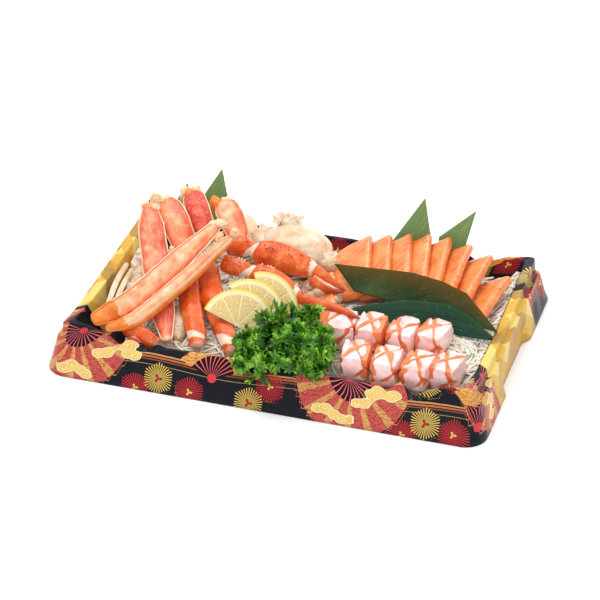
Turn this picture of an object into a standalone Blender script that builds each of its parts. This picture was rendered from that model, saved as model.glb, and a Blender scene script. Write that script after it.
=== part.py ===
"""A take-away sashimi plate: a printed tray of formed plastic sheet, filled with shredded radish, sliced
salmon, seared salmon belly, crab legs and claws, lemon, curly parsley and bamboo leaves.

Lengths here are millimetres until finish() turns them into metres. X runs along the tray, -Y is its
front, and Z = 0 is the table. A direction called lift is the way a piece's shown face looks."""

import math
import random

import bmesh
import bpy
from mathutils import Matrix, Vector, noise
from mathutils.bvhtree import BVHTree

METRES = 0.001
GAP = 0.4  # clearance left between pieces that touch
SWELL = 1.25  # corners move this much further, so that the faces between them keep the gap
MERGE = 0.002  # points nearer than this are one

# Tray
TRAY_LENGTH = 400
TRAY_WIDTH = 267
SHEET = 1.0
OUTER_CORNER = 20
FLOOR_INSET = 36
FLOOR_CORNER = 14
CREASE_INSET, CREASE_HEIGHT = 13.9, 24.5
CREST_INSET, CREST_HEIGHT, CREST_DROOP = 20.8, 34.6, 6.8
LEDGE_INSET, LEDGE_WIDTH = 14.0, 7.4
LEDGE_HEIGHT, LEDGE_RISE = 35.5, 8.5
RIDGE_INSET, RIDGE_HEIGHT = 8.5, 30.5
CORNER_HEIGHT = 43.5
# Peaks and dips of the long sides' crest: place along X, half width, height
CREST_WAVES = ((106, 8, 2.5), (116, 8, -3.0), (130, 10, 8.0), (146, 10, -3.5))
WAVE_START, WAVE_STEP = 98, 8
GRIP_HALF, GRIP_DEPTH = 48, 6
NOTCH_HALF, NOTCH_DEPTH = 15, 4

# Radish
RADISH_BASE, RADISH_HEIGHT = 1.5, 24
RADISH_LEFT, RADISH_RIGHT, RADISH_HALF = -148, 170, 102
SINK, NEAR = 1.2, 6  # how far under a piece the heap stays, and how far round it
SHRED_WIDTH, SHRED_DEPTH, SHRED_LENGTH = 1.9, 1.4, 26
# Where the heap shows bare: X from and to, Y from and to, shreds
BARE_RADISH = ((150, 168, -70, -10, 9), (152, 170, 20, 62, 4), (60, 145, -99, -95, 3))

# Fish
SLICE_LENGTH, SLICE_WIDTH, SLICE_THICKNESS = 68, 42, 8.0
SLICE_LEAN = math.radians(57)
SLICE_SLOPE = math.radians(11)
# Each slice's upper back corner, and how far it is turned from the row
SLICES = (
    ((36, 80, 61), 0), ((54, 84, 62.5), 0), ((71.5, 89, 64), 0), ((89, 92, 65), 3),
    ((107.5, 94, 64), 9), ((127, 91, 62.5), 14), ((148, 84, 59), 20), ((170, 63, 53), 25),
    ((14, 36, 44), -6),
)
BELLY_SIZE = (24, 31, 22)
BELLY_BACK = ((49, -43, 38), (76, -41, 39), (103.5, -39, 39), (130, -35, 39))
BELLY_FRONT = ((74, -83, 36), (101, -84, 36), (128.5, -83, 36), (153, -77, 36))
BELLY_SEED = 1795885638  # settles the blocks' small lumps
noise.seed_set(BELLY_SEED)

# Crab: routes of the limbs' middles, and half widths along them
UPRIGHT = (
    (((-157, 34, 84), (-147, 11, 72), (-132, -19, 54), (-112, -60, 37), (-97, -92, 27)), (11, 12.5, 8)),
    (((-146, 46, 86), (-130, 28, 76), (-108, 4, 52)), (10.5, 12.5, 9)),
    (((-129, 71, 84), (-118, 54, 77), (-99, 32, 56)), (10, 11.5, 9)),
    (((-100, 71, 79), (-87, 59, 70), (-71, 43, 50)), (10, 12.5, 9)),
)
CROSSING_1 = ((-86, 19, 86), (-113, -30, 66), (-134, -66, 51), (-146, -84, 47), (-161, -108, 47))
CROSSING_2 = ((-70, 12, 80), (-98, -38, 60), (-122, -80, 45), (-132, -96, 43), (-146, -114, 45))
LOWER_1 = ((-104, -8, 46), (-92, -42, 40), (-78, -70, 33), (-68, -93, 28))
LOWER_2 = ((-90, 4, 50), (-76, -30, 44), (-54, -64, 35), (-37, -92, 27))
CLAW_1 = (
    (-84, 34, 56), (-66, 33, 58), (-48, 29, 57), (-28, 28, 56), (-4, 24, 53), (14, 19, 49), (37, 12, 42),
)
CLAW_1_WIDTHS = (8, 9.5, 10, 7, 12.5, 13.5, 13, 12, 10, 6.5, 5, 3, 1)
CLAW_2 = (
    (-78, 2, 58), (-60, 0, 56), (-43, -2, 54), (-24, -8, 52), (-4, -17, 49), (14, -24, 49),
    (42, -33, 52), (66, -43, 52),
)
CLAW_2_WIDTHS = (7, 8.5, 8, 6.5, 10.5, 11.5, 11.5, 10, 7, 5, 4.5, 4, 3, 1)
# Bits of shell: name, route, half widths
SHELL_BITS = (
    ("crab_shell_back", ((-84, 88, 57), (-76, 76, 52), (-66, 62, 44)), (4, 8, 8, 6)),
    ("crab_shell_front", ((-140, -90, 37), (-122, -96, 33), (-104, -98, 27)), (5, 8, 8, 6)),
    ("crab_strand_1", ((-165, -6, 46), (-165, -36, 43), (-162, -68, 37)), (2, 2.6, 2.6, 2)),
    ("crab_strand_2", ((-158, -12, 45), (-158, -42, 41), (-156, -70, 34)), (2, 2.4, 2.4, 1.8)),
)
# Lumps of crab body: name, then each lump's centre, half sizes and turn
BODY = (
    ("crab_body_back", (((-26, 66, 43), (37, 25, 21), -12), ((-57, 66, 43), (16, 13, 13), 0),
                        ((-42, 92, 50), (11, 9, 10), 0), ((6, 55, 40), (13, 10, 9), 0))),
    ("crab_body_left", (((-149, -6, 30), (13, 38, 14), 6),)),
    ("crab_body_front", (((12, 22, 32), (22, 14, 9), -20),)),
    ("crab_body_middle", (((-98, -54, 24), (10, 26, 11), 12),)),
)

# Lemon: each half slice's centre and the turn of its cut edge in its own plane
LEMON_RADIUS, LEMON_THICKNESS = 33, 4.5
LEMONS = (((-40.8, -66, 38), -28), ((-34.6, -53, 42), -58), ((-26.4, -41, 44), -79))

# Parsley
PARSLEY_CENTRE, PARSLEY_SIZE = Vector((14, -90, 43)), Vector((39, 30, 17))
PARSLEY_TURN, PARSLEY_DROOP = math.radians(14), math.radians(13)
FROND_SIZE, FROND_COUNT, FROND_LOBES = 12.5, 26, 6

# Leaves: the two long edges of each
LAID = (
    (((17, 41, 50), (91, 35, 58), (121, 30, 57), (146, 20, 55), (182, -14, 44)),
     ((45, 8, 46), (90, 0, 45), (121, -4, 44.5), (150, -9, 44), (181, -16, 43.5))),
    (((50, -13, 42), (61, -13, 47), (95, -2, 52.5), (131, 2, 52.5), (152, -5, 50), (180, -20, 41)),
     ((51, -16, 40), (66, -20, 38), (98, -18, 37), (128, -12, 38), (148, -17, 34), (178, -22, 38))),
)
STANDING = (
    (((-163, 99, 36), (-156, 99, 52), (-143, 97, 76)), ((-136, 99, 36), (-137, 98, 52), (-142.5, 97, 76))),
    (((-140, 97, 34), (-128, 96, 64), (-107.5, 94, 99)), ((-101, 97, 34), (-102, 96, 64), (-107, 94, 99))),
    (((50, 103, 28), (54, 103, 45), (84, 103, 96)), ((92, 103, 28), (91.5, 103, 50), (84.5, 103, 96))),
    (((96, 104, 28), (98, 104, 57), (131.5, 104, 90)), ((122, 104, 28), (124, 104, 55), (132, 104, 90))),
)

LOOK = Vector((0.25, -0.80, 0.55)).normalized()  # from the food towards whoever it is served to


def material(name, colour, roughness, metallic=0.0):
    made = bpy.data.materials.new(name)
    made.use_nodes = True
    shader = made.node_tree.nodes["Principled BSDF"]
    shader.inputs["Base Color"].default_value = (*colour, 1.0)
    shader.inputs["Roughness"].default_value = roughness
    shader.inputs["Metallic"].default_value = metallic
    return made


def finish(bm, name, made_of):
    """Turns a bmesh in millimetres into the named object in metres, with flat triangles."""
    bmesh.ops.recalc_face_normals(bm, faces=bm.faces)
    bmesh.ops.triangulate(bm, faces=bm.faces)
    bmesh.ops.scale(bm, vec=(METRES,) * 3, verts=bm.verts)
    mesh = bpy.data.meshes.new(name)
    bm.to_mesh(mesh)
    bm.free()
    mesh.materials.append(made_of)
    mesh.shade_smooth()
    mesh.set_sharp_from_angle(angle=math.radians(40))
    piece = bpy.data.objects.new(name, mesh)
    bpy.context.scene.collection.objects.link(piece)
    return piece


def boolean(piece, others, operation, solver="EXACT"):
    """Applies one Boolean of the piece with all the others, as a collection."""
    group = bpy.data.collections.new("operands")
    bpy.context.scene.collection.children.link(group)
    for other in others:
        group.objects.link(other)
    change = piece.modifiers.new("Boolean", "BOOLEAN")
    change.operation = operation
    change.operand_type = "COLLECTION"
    change.collection = group
    change.solver = solver
    graph = bpy.context.evaluated_depsgraph_get()
    result = bpy.data.meshes.new_from_object(piece.evaluated_get(graph))
    piece.modifiers.clear()
    piece.data = result
    for other in others:
        bpy.data.objects.remove(other)
    bpy.data.collections.remove(group)
    keep_largest(piece)


def keep_largest(piece):
    """Drops the loose scraps that a cut leaves, and merges points that fall together."""
    bm = bmesh.new()
    bm.from_mesh(piece.data)
    bmesh.ops.remove_doubles(bm, verts=bm.verts, dist=MERGE * METRES)
    left = set(bm.verts)
    bodies = []
    while left:
        body = {left.pop()}
        edge = list(body)
        while edge:
            near = {e.other_vert(v) for v in edge for e in v.link_edges} & left
            left -= near
            body |= near
            edge = list(near)
        bodies.append(body)
    bodies.sort(key=len)
    for body in bodies[:-1]:
        bmesh.ops.delete(bm, geom=list(body), context="VERTS")
    bmesh.ops.triangulate(bm, faces=bm.faces)
    bm.to_mesh(piece.data)
    bm.free()


def swollen(piece, by):
    """A copy of the piece, grown all round by this many millimetres."""
    bm = bmesh.new()
    bm.from_mesh(piece.data)
    bm.normal_update()
    for vert in bm.verts:
        vert.co += vert.normal * by * METRES * SWELL
    mesh = bpy.data.meshes.new("swollen")
    bm.to_mesh(mesh)
    bm.free()
    copy = bpy.data.objects.new("swollen", mesh)
    bpy.context.scene.collection.objects.link(copy)
    return copy


def reach(piece):
    points = [v.co for v in piece.data.vertices]
    return [(min(p[i] for p in points), max(p[i] for p in points)) for i in range(3)]


def press_into(piece, others):
    """Cuts the piece back where firmer pieces touch it, with a small gap."""
    own = reach(piece)
    near = []
    for other in others:
        pairs = zip(own, reach(other))
        if all(a[0] < b[1] + GAP * METRES and b[0] < a[1] + GAP * METRES for a, b in pairs):
            near.append(swollen(other, GAP))
    for other in near:
        boolean(piece, [other], "DIFFERENCE")


def loft(rings):
    """A closed mesh through rings of points, each with as many points, capped at both ends."""
    bm = bmesh.new()
    rows = [[bm.verts.new(point) for point in ring] for ring in rings]
    for row, following in zip(rows, rows[1:]):
        for i, vert in enumerate(row):
            j = (i + 1) % len(row)
            bm.faces.new((vert, row[j], following[j], following[i]))
    bm.faces.new(list(reversed(rows[0])))
    bm.faces.new(rows[-1])
    return bm


def curve(points, count):
    """Points at even steps of a smooth curve through the given ones."""
    points = [Vector(p) for p in points]
    ends = [points[0] * 2 - points[1], *points, points[-1] * 2 - points[-2]]
    made = []
    for k in range(count):
        place = k / (count - 1) * (len(points) - 1)
        i = min(int(place), len(points) - 2)
        t = place - i
        a, b, c, d = ends[i : i + 4]
        made.append(
            0.5 * ((2 * b) + (c - a) * t + (2 * a - 5 * b + 4 * c - d) * t * t
                   + (3 * b - a - 3 * c + d) * t ** 3)
        )
    return made


def divided(points, parts):
    """The given points, with each straight stretch between them cut into parts."""
    made = [Vector(points[0])]
    for start, end in zip(points, points[1:]):
        made += [Vector(start).lerp(Vector(end), k / parts) for k in range(1, parts + 1)]
    return made


def sweep(path, section, lift):
    """A solid along the path; section(t) gives its (side, lift) offsets, t running from 0 to 1."""
    rings = []
    for k, centre in enumerate(path):
        ahead = path[min(k + 1, len(path) - 1)] - path[max(k - 1, 0)]
        side = ahead.cross(lift).normalized()
        up = side.cross(ahead).normalized()
        t = k / (len(path) - 1)
        rings.append([centre + side * a + up * b for a, b in section(t)])
    return loft(rings)


def oval(width, depth, sides):
    turns = [2 * math.pi * k / sides for k in range(sides)]
    return [(width * math.cos(a), depth * math.sin(a)) for a in turns]


def ramp(value, start, end):
    t = min(max((value - start) / (end - start), 0), 1)
    return t * t * (3 - 2 * t)


# Tray: one formed sheet, followed round its edge in stations. A station holds the side, the place on
# it, and the mix of the short side's shape (1) and the long side's shape (0).


def tray_stations():
    half_x = TRAY_LENGTH / 2 - OUTER_CORNER
    half_y = TRAY_WIDTH / 2 - OUTER_CORNER
    waves = [WAVE_START + WAVE_STEP * k for k in range(7)] + [157, 168.5, half_x]
    long_places = [-x for x in reversed(waves)] + [-50, 0, 50] + waves
    short_half = [NOTCH_HALF / 2, NOTCH_HALF, GRIP_HALF * 0.7, GRIP_HALF, 80, half_y]
    short_places = [-y for y in reversed(short_half)] + [0] + short_half
    long_side = [x / half_x for x in long_places]
    short_side = [y / half_y for y in short_places]
    corner = [k / 5 for k in range(1, 5)]
    stations = [("side", (0, -1), (u, -1), 0) for u in long_side]
    stations += [("corner", t, (1, -1), t) for t in corner]
    stations += [("side", (1, 0), (1, v), 1) for v in short_side]
    stations += [("corner", 1 - t, (1, 1), 1 - t) for t in corner]
    stations += [("side", (0, 1), (-u, 1), 0) for u in long_side]
    stations += [("corner", t, (-1, 1), t) for t in corner]
    stations += [("side", (-1, 0), (-1, -v), 1) for v in short_side]
    stations += [("corner", 1 - t, (-1, -1), 1 - t) for t in corner]
    return stations


def ring_place(station, inset_x, inset_y, radius):
    """Where a station falls on a rounded rectangle this far inside the outline."""
    kind, where, (u, v), _ = station
    straight_x = TRAY_LENGTH / 2 - inset_x - radius
    straight_y = TRAY_WIDTH / 2 - inset_y - radius
    if kind == "side":
        return (u * straight_x + where[0] * radius, v * straight_y + where[1] * radius)
    turn = where * math.pi / 2
    return (
        u * (straight_x + radius * math.sin(turn)),
        v * (straight_y + radius * math.cos(turn)),
    )


def crest_height(x):
    along = abs(x)
    height = CREST_HEIGHT - CREST_DROOP * (along / (TRAY_LENGTH / 2)) ** 2
    for centre, half, rise in CREST_WAVES:
        height += rise * max(0, 1 - abs(along - centre) / half)
    return height + (CORNER_HEIGHT - 29) * ramp(along, 138, 182)


def long_profile(station):
    """The sheet's upper face across a long side: inset from the outer edge, and height."""
    x = ring_place(station, 0, 0, OUTER_CORNER)[0]
    crest = crest_height(x)
    middle = (CREASE_HEIGHT + crest) / 2
    return [
        (0, 0), (CREASE_INSET * 0.5, CREASE_HEIGHT * 0.52), (CREASE_INSET, CREASE_HEIGHT),
        (CREASE_INSET + 3.4, middle), (CREST_INSET, crest), (CREST_INSET + 2.2, crest),
        (FLOOR_INSET - 3, 3.5), (FLOOR_INSET, SHEET),
    ]


def short_profile(station):
    y = ring_place(station, 0, 0, OUTER_CORNER)[1]
    grip = GRIP_DEPTH * (1 - ramp(abs(y), GRIP_HALF - 12, GRIP_HALF))
    notch = max(0, 1 - abs(y) / NOTCH_HALF)
    tab = max(0, 1 - abs(abs(y) - NOTCH_HALF / 2) / (NOTCH_HALF / 2))
    ledge = LEDGE_HEIGHT + LEDGE_RISE * (abs(y) / (TRAY_WIDTH / 2 - OUTER_CORNER)) ** 2
    facet = 1.6 * math.cos(y / 12 * math.pi)
    return [
        (grip, 0), (grip * 0.8 + 3.6 + facet * 0.4, RIDGE_HEIGHT * 0.45),
        (RIDGE_INSET, RIDGE_HEIGHT), (LEDGE_INSET - 1.5, RIDGE_HEIGHT - 1),
        (LEDGE_INSET, ledge + 2 * tab), (LEDGE_INSET + LEDGE_WIDTH, ledge - NOTCH_DEPTH * notch),
        (FLOOR_INSET - 3 + facet, 3.5), (FLOOR_INSET, SHEET),
    ]


def lower_face(profile):
    """The same profile one sheet thickness further in, kept above the table."""
    made = []
    for k, point in enumerate(profile):
        before = Vector(profile[max(k - 1, 0)])
        after = Vector(profile[min(k + 1, len(profile) - 1)])
        along = (after - before).normalized()
        made.append((point[0] + along[1] * SHEET, max(point[1] - along[0] * SHEET, 0)))
    made[0] = (profile[0][0] + SHEET * 1.2, 0)
    made[-1] = (profile[-1][0], 0)
    return made


def tray_ring(stations, profiles, k):
    points = []
    for station, profile in zip(stations, profiles):
        inset, height = profile[k]
        radius = max(OUTER_CORNER - inset, FLOOR_CORNER * inset / FLOOR_INSET, 4)
        points.append((*ring_place(station, inset, inset, radius), height))
    return points


def make_tray(made_of):
    stations = tray_stations()
    profiles = []
    for station in stations:
        mix = station[3]
        pairs = zip(long_profile(station), short_profile(station))
        profiles.append([tuple((1 - mix) * a + mix * b for a, b in zip(*pair)) for pair in pairs])
    under = [lower_face(profile) for profile in profiles]
    rings = [tray_ring(stations, under, k) for k in reversed(range(8))]
    rings += [tray_ring(stations, profiles, k) for k in range(8)]
    return finish(loft(rings), "tray", made_of)


# Fish


def slice_outline(length, width):
    """A slice seen from its face: a long blunt leaf of fish with a pointed upper back corner."""
    return [
        (0, 0), (length * 0.3, 1.5), (length * 0.62, 0.5), (length * 0.88, -2), (length, -9),
        (length * 0.99, -width * 0.55), (length * 0.9, -width * 0.86), (length * 0.66, -width),
        (length * 0.34, -width * 0.97), (length * 0.1, -width * 0.86), (-2, -width * 0.62),
        (-4, -width * 0.3),
    ]


def make_slice(name, corner, turn, made_of):
    heading = math.radians(-73 - turn)
    ahead = Vector((math.cos(heading), math.sin(heading), 0))
    side = Vector((-math.sin(heading), math.cos(heading), 0))
    along = (ahead * math.cos(SLICE_SLOPE) - Vector((0, 0, math.sin(SLICE_SLOPE)))).normalized()
    across = side * math.sin(SLICE_LEAN) + Vector((0, 0, math.cos(SLICE_LEAN)))
    across = (across - along * across.dot(along)).normalized()
    face = across.cross(along).normalized()
    if face.z < 0:
        face.negate()
    outline = slice_outline(SLICE_LENGTH, SLICE_WIDTH)
    centre = Vector((SLICE_LENGTH / 2, -SLICE_WIDTH / 2))
    rings = []
    for level, shrink in ((0, 0.93), (0.22, 1), (0.78, 1), (1, 0.92)):
        ring = []
        for a, b in outline:
            a, b = centre + (Vector((a, b)) - centre) * shrink
            bulge = 2.2 * math.sin(a / SLICE_LENGTH * math.pi) - 1.2
            place = Vector(corner) + along * a + across * b
            ring.append(place + face * ((level - 1) * SLICE_THICKNESS + bulge))
        rings.append(ring)
    return finish(loft(rings), name, made_of)


def make_belly(name, centre, turn, seed, made_of):
    """A thick seared block, its skin face scored crosswise so that the cuts open."""
    bm = bmesh.new()
    bmesh.ops.create_cube(bm, size=2)
    bmesh.ops.subdivide_edges(bm, edges=bm.edges, cuts=3, use_grid_fill=True)
    around = Matrix.Rotation(math.radians(turn), 3, "Z")
    for vert in bm.verts:
        flat = vert.co.copy()
        ball = flat.normalized() * 1.25
        point = flat.lerp(ball, 0.55)
        cut = max(0, 0.28 - abs(abs(point.x) - abs(point.y) * 0.9)) / 0.28
        if flat.z > 0.6:
            point.z -= 0.20 * cut
            point.z += 0.10 * (1 - cut)
        point += 0.05 * noise.noise_vector(point * 1.7 + Vector((seed, 0, 0)))
        half = [size / 2 for size in BELLY_SIZE]
        point = Vector((point.x * half[0], point.y * half[1], point.z * half[2]))
        vert.co = around @ point + Vector(centre)
    return finish(bm, name, made_of)


# Crab


def leg_section(width, depth):
    """An opened leg across: a shell below, its two cut edges, and the meat standing between them."""
    shell = [math.radians(a) for a in (0, -50, -90, -130, -180)]
    points = [(width * math.cos(a), depth * math.sin(a)) for a in shell]
    edge = width - 1.4
    points += [(-width, 1.6), (-edge, 1.2), (-edge * 0.5, depth * 0.48)]
    return points + [(edge * 0.5, depth * 0.48), (edge, 1.2), (width, 1.6)]


def make_open_leg(name, route, widths, made_of, lift=LOOK):
    """widths are the half widths at the start, middle and end."""
    path = curve(route, 9)
    start, middle, end = widths

    def section(t):
        width = middle + (start - middle) * max(0, 1 - 2 * t) + (end - middle) * max(0, 2 * t - 1)
        width *= 0.6 + 0.4 * min(1, 5 * t, 5 * (1 - t))
        return leg_section(width, width * 0.75)

    return finish(sweep(path, section, lift), name, made_of)


def make_limb(name, route, widths, made_of, lift=LOOK, flat=0.7, sides=8, steps=9):
    """A closed round limb: half widths at even steps along it."""
    path = curve(route, steps)

    def section(t):
        place = t * (len(widths) - 1)
        i = min(int(place), len(widths) - 2)
        width = widths[i] + (widths[i + 1] - widths[i]) * (place - i)
        return oval(width, width * flat, sides)

    return finish(sweep(path, section, lift), name, made_of)


def make_body(name, lumps, made_of):
    """A body piece of the crab: rounded lumps with ridges where the legs were joined."""
    parts = []
    for k, (centre, size, turn) in enumerate(lumps):
        bm = bmesh.new()
        bmesh.ops.create_icosphere(bm, subdivisions=3 if size[0] > 30 else 2, radius=1)
        around = Matrix.Rotation(math.radians(turn), 3, "Z")
        for vert in bm.verts:
            point = vert.co.copy()
            fan = math.atan2(point.z + 0.6, point.x)
            swell = 1 + 0.06 * math.cos(fan * 9) + 0.12 * noise.noise(point * 1.6 + Vector((k, 0, 0)))
            point = Vector([point[i] * swell * size[i] for i in range(3)])
            vert.co = around @ point + Vector(centre)
        parts.append(finish(bm, name, made_of))
    if parts[1:]:
        boolean(parts[0], parts[1:], "UNION", "MANIFOLD")
    return parts[0]


# Garnish


def make_lemon(name, centre, turn, made_of):
    """A half slice: rind all round its arc, a straight cut edge, both faces flat."""
    lift = LOOK
    side = lift.cross(Vector((0, 0, 1))).normalized() * -1
    up = lift.cross(side)
    if up.z < 0:
        up.negate()
    spin = Matrix.Rotation(math.radians(turn), 3, lift)
    side, up = spin @ side, spin @ up
    rings = []
    for level, shrink in ((-0.5, 0.97), (-0.3, 1), (0.3, 1), (0.5, 0.97)):
        arc = [math.pi * k / 12 for k in range(13)]
        ring = [(LEMON_RADIUS * math.cos(a), LEMON_RADIUS * math.sin(a)) for a in arc]
        ring = [
            Vector(centre) + (side * a + up * b) * shrink + lift * LEMON_THICKNESS * level
            for a, b in ring
        ]
        rings.append(ring)
    return finish(loft(rings), name, made_of)


def make_leaf(name, upper, lower, made_of, wave=1.0, across=3, along=2, thickness=0.6):
    """A cut bamboo leaf between its two long edges, thin and wavy, both faces split alike."""
    upper = divided(upper, along)
    lower = divided(lower, along)
    bm = bmesh.new()
    faces = []
    rows = []
    for k, (a, b) in enumerate(zip(upper, lower)):
        row = []
        for j in range(across + 1):
            point = a.lerp(b, j / across)
            point.z += wave * math.sin(j / across * math.pi) * math.sin(k * 1.1)
            row.append(bm.verts.new(point))
        rows.append(row)
    for row, following in zip(rows, rows[1:]):
        for j in range(across):
            faces.append(bm.faces.new((row[j], row[j + 1], following[j + 1], following[j])))
    bmesh.ops.triangulate(bm, faces=faces)
    bmesh.ops.solidify(bm, geom=bm.faces[:], thickness=thickness)
    return finish(bm, name, made_of)


def make_parsley(made_of):
    """A bunch of curled fronds on a lumpy core."""
    draw = random.Random(11)
    lie = Matrix.Rotation(PARSLEY_TURN, 3, "Z") @ Matrix.Rotation(-PARSLEY_DROOP, 3, "Y")
    bm = bmesh.new()
    bmesh.ops.create_icosphere(bm, subdivisions=2, radius=1)
    for vert in bm.verts:
        point = vert.co * (0.90 + 0.16 * noise.noise(vert.co * 3.1))
        vert.co = lie @ Vector([point[i] * PARSLEY_SIZE[i] for i in range(3)]) + PARSLEY_CENTRE
    core = finish(bm, "parsley", made_of)
    fronds = []
    for k in range(FROND_COUNT):
        height = 1 - 1.5 * (k + 0.5) / FROND_COUNT
        turn = k * 2.399963
        flat = math.sqrt(max(0, 1 - height * height))
        out = Vector((flat * math.cos(turn), flat * math.sin(turn), height))
        place = lie @ Vector([out[i] * PARSLEY_SIZE[i] for i in range(3)]) + PARSLEY_CENTRE
        fronds.append(make_frond(place, out, draw, made_of))
    boolean(core, fronds, "UNION", "MANIFOLD")
    return core


def make_frond(place, out, draw, made_of):
    size = FROND_SIZE * draw.uniform(0.8, 1.2)
    turn = draw.uniform(0, math.tau)
    basis = out.to_track_quat("Z", "Y").to_matrix() @ Matrix.Rotation(turn, 3, "Z")
    tilt = Matrix.Rotation(draw.uniform(-0.7, 0.7), 3, "X")
    bm = bmesh.new()
    top = []
    lobes = FROND_LOBES
    for k in range(lobes):
        angle = math.tau * k / lobes
        spread = size * (1.0 if k % 2 else 0.55)
        curl = size * (0.35 if k % 2 else -0.05) * draw.uniform(0.3, 1.0)
        top.append(Vector((spread * math.cos(angle), spread * math.sin(angle), curl)))
    thick = Vector((0, 0, 1.6))
    centre = bm.verts.new(place + basis @ tilt @ Vector((0, 0, 0.5)))
    below = bm.verts.new(place + basis @ tilt @ Vector((0, 0, -2.4)))
    upper = [bm.verts.new(place + basis @ tilt @ point) for point in top]
    under = [bm.verts.new(place + basis @ tilt @ (point - thick)) for point in top]
    for k in range(lobes):
        j = (k + 1) % lobes
        bm.faces.new((centre, upper[k], upper[j]))
        bm.faces.new((below, under[j], under[k]))
        bm.faces.new((upper[k], under[k], under[j], upper[j]))
    return finish(bm, "frond", made_of)


def radish_height(x, y):
    """The heap's upper face before what lies on it sinks in."""
    right = ramp(x, -40, 10)
    height = RADISH_HEIGHT * (0.80 + 0.20 * right)
    height += 7 * ramp(x, 120, 165) * ramp(y, -90, -20)
    height += 5 * (1 - right) * ramp(y, -10, 60)
    return height + 1.6 * noise.noise(Vector((x, y, 0)) / 14)


def make_radish(made_of, others):
    """The heap of shredded radish that everything lies on: a core, with loose shreds where it shows."""
    solids = [tree_of(other) for other in others[1:]]
    middle = (RADISH_LEFT + RADISH_RIGHT) / 2
    half_x = (RADISH_RIGHT - RADISH_LEFT) / 2
    bm = bmesh.new()
    bmesh.ops.create_grid(bm, x_segments=15, y_segments=10, size=1)
    for vert in bm.verts:
        u, v = vert.co.x, vert.co.y
        x = middle + u * math.sqrt(1 - 0.12 * v * v) * half_x
        y = v * math.sqrt(1 - 0.12 * u * u) * RADISH_HALF
        slump = 5 * ramp(max(abs(u), abs(v)), 0.85, 1.0)
        height = min([radish_height(x, y) - slump] + [z - SINK for z in undersides(x, y, solids)])
        vert.co = Vector((x, y, max(height, RADISH_BASE + 3)))
    top = bm.faces[:]
    base = bmesh.ops.extrude_face_region(bm, geom=top)["geom"]
    for vert in [g for g in base if isinstance(g, bmesh.types.BMVert)]:
        vert.co = Vector((middle + (vert.co.x - middle) * 0.93, vert.co.y * 0.93, RADISH_BASE))
    flat = [f for f in bm.faces if all(abs(v.co.z - RADISH_BASE) < 1e-4 for v in f.verts)]
    bmesh.ops.dissolve_faces(bm, faces=flat)
    core = finish(bm, "radish_bed", made_of)
    press_into(core, others)
    shreds = make_shreds(core, others, made_of)
    boolean(core, shreds, "UNION", "MANIFOLD")
    return core


def undersides(x, y, solids):
    """Heights of the faces above the place and a little to each side of it."""
    for dx, dy in ((0, 0), (NEAR, 0), (-NEAR, 0), (0, NEAR), (0, -NEAR)):
        start = Vector((x + dx, y + dy, RADISH_BASE)) * METRES
        for tree in solids:
            hit = tree.ray_cast(start, Vector((0, 0, 1)))[0]
            if hit:
                yield hit.z / METRES


def make_shreds(core, others, made_of):
    """Curved strips half sunk in the heap, only where nothing lies on it."""
    draw = random.Random(3)
    bed = tree_of(core)
    solids = [tree_of(other) for other in others]
    w, d = SHRED_WIDTH / 2, SHRED_DEPTH / 2
    shreds = []
    for x_from, x_to, y_from, y_to, count in BARE_RADISH:
        found = 0
        for _ in range(count * 12):
            start = Vector((draw.uniform(x_from, x_to), draw.uniform(y_from, y_to), 0))
            heading = draw.uniform(0, math.tau)
            bend = draw.uniform(-0.5, 0.5)
            route = []
            for k, rise in enumerate((-1.2, 1.3, 1.5, -1.2)):
                turn = heading + bend * k
                point = start + Vector((math.cos(turn), math.sin(turn), 0)) * (k - 1.5) * SHRED_LENGTH / 3
                hit = bed.ray_cast(Vector((point.x, point.y, 90)) * METRES, Vector((0, 0, -1)))[0]
                height = hit.z / METRES + rise if hit else 0
                route.append(Vector((point.x, point.y, height)))
            if min(p.z for p in route) < RADISH_HEIGHT * 0.5 or crosses(route, solids):
                continue
            strip = sweep(route, lambda t: [(w, -d), (-w, -d), (-w, d), (w, d)], Vector((0, 0, 1)))
            shreds.append(finish(strip, "shred", made_of))
            found += 1
            if found == count:
                break
    return shreds


def tree_of(piece):
    bm = bmesh.new()
    bm.from_mesh(piece.data)
    tree = BVHTree.FromBMesh(bm)
    bm.free()
    return tree


def crosses(route, solids):
    """Whether a strip along the route would come too near any of the solids."""
    clear = (SHRED_WIDTH + 2 * GAP) * METRES
    places = [a.lerp(b, t) * METRES for a, b in zip(route, route[1:]) for t in (0, 0.5, 1)]
    return any(tree.find_nearest(place, clear)[0] is not None for tree in solids for place in places)


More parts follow.
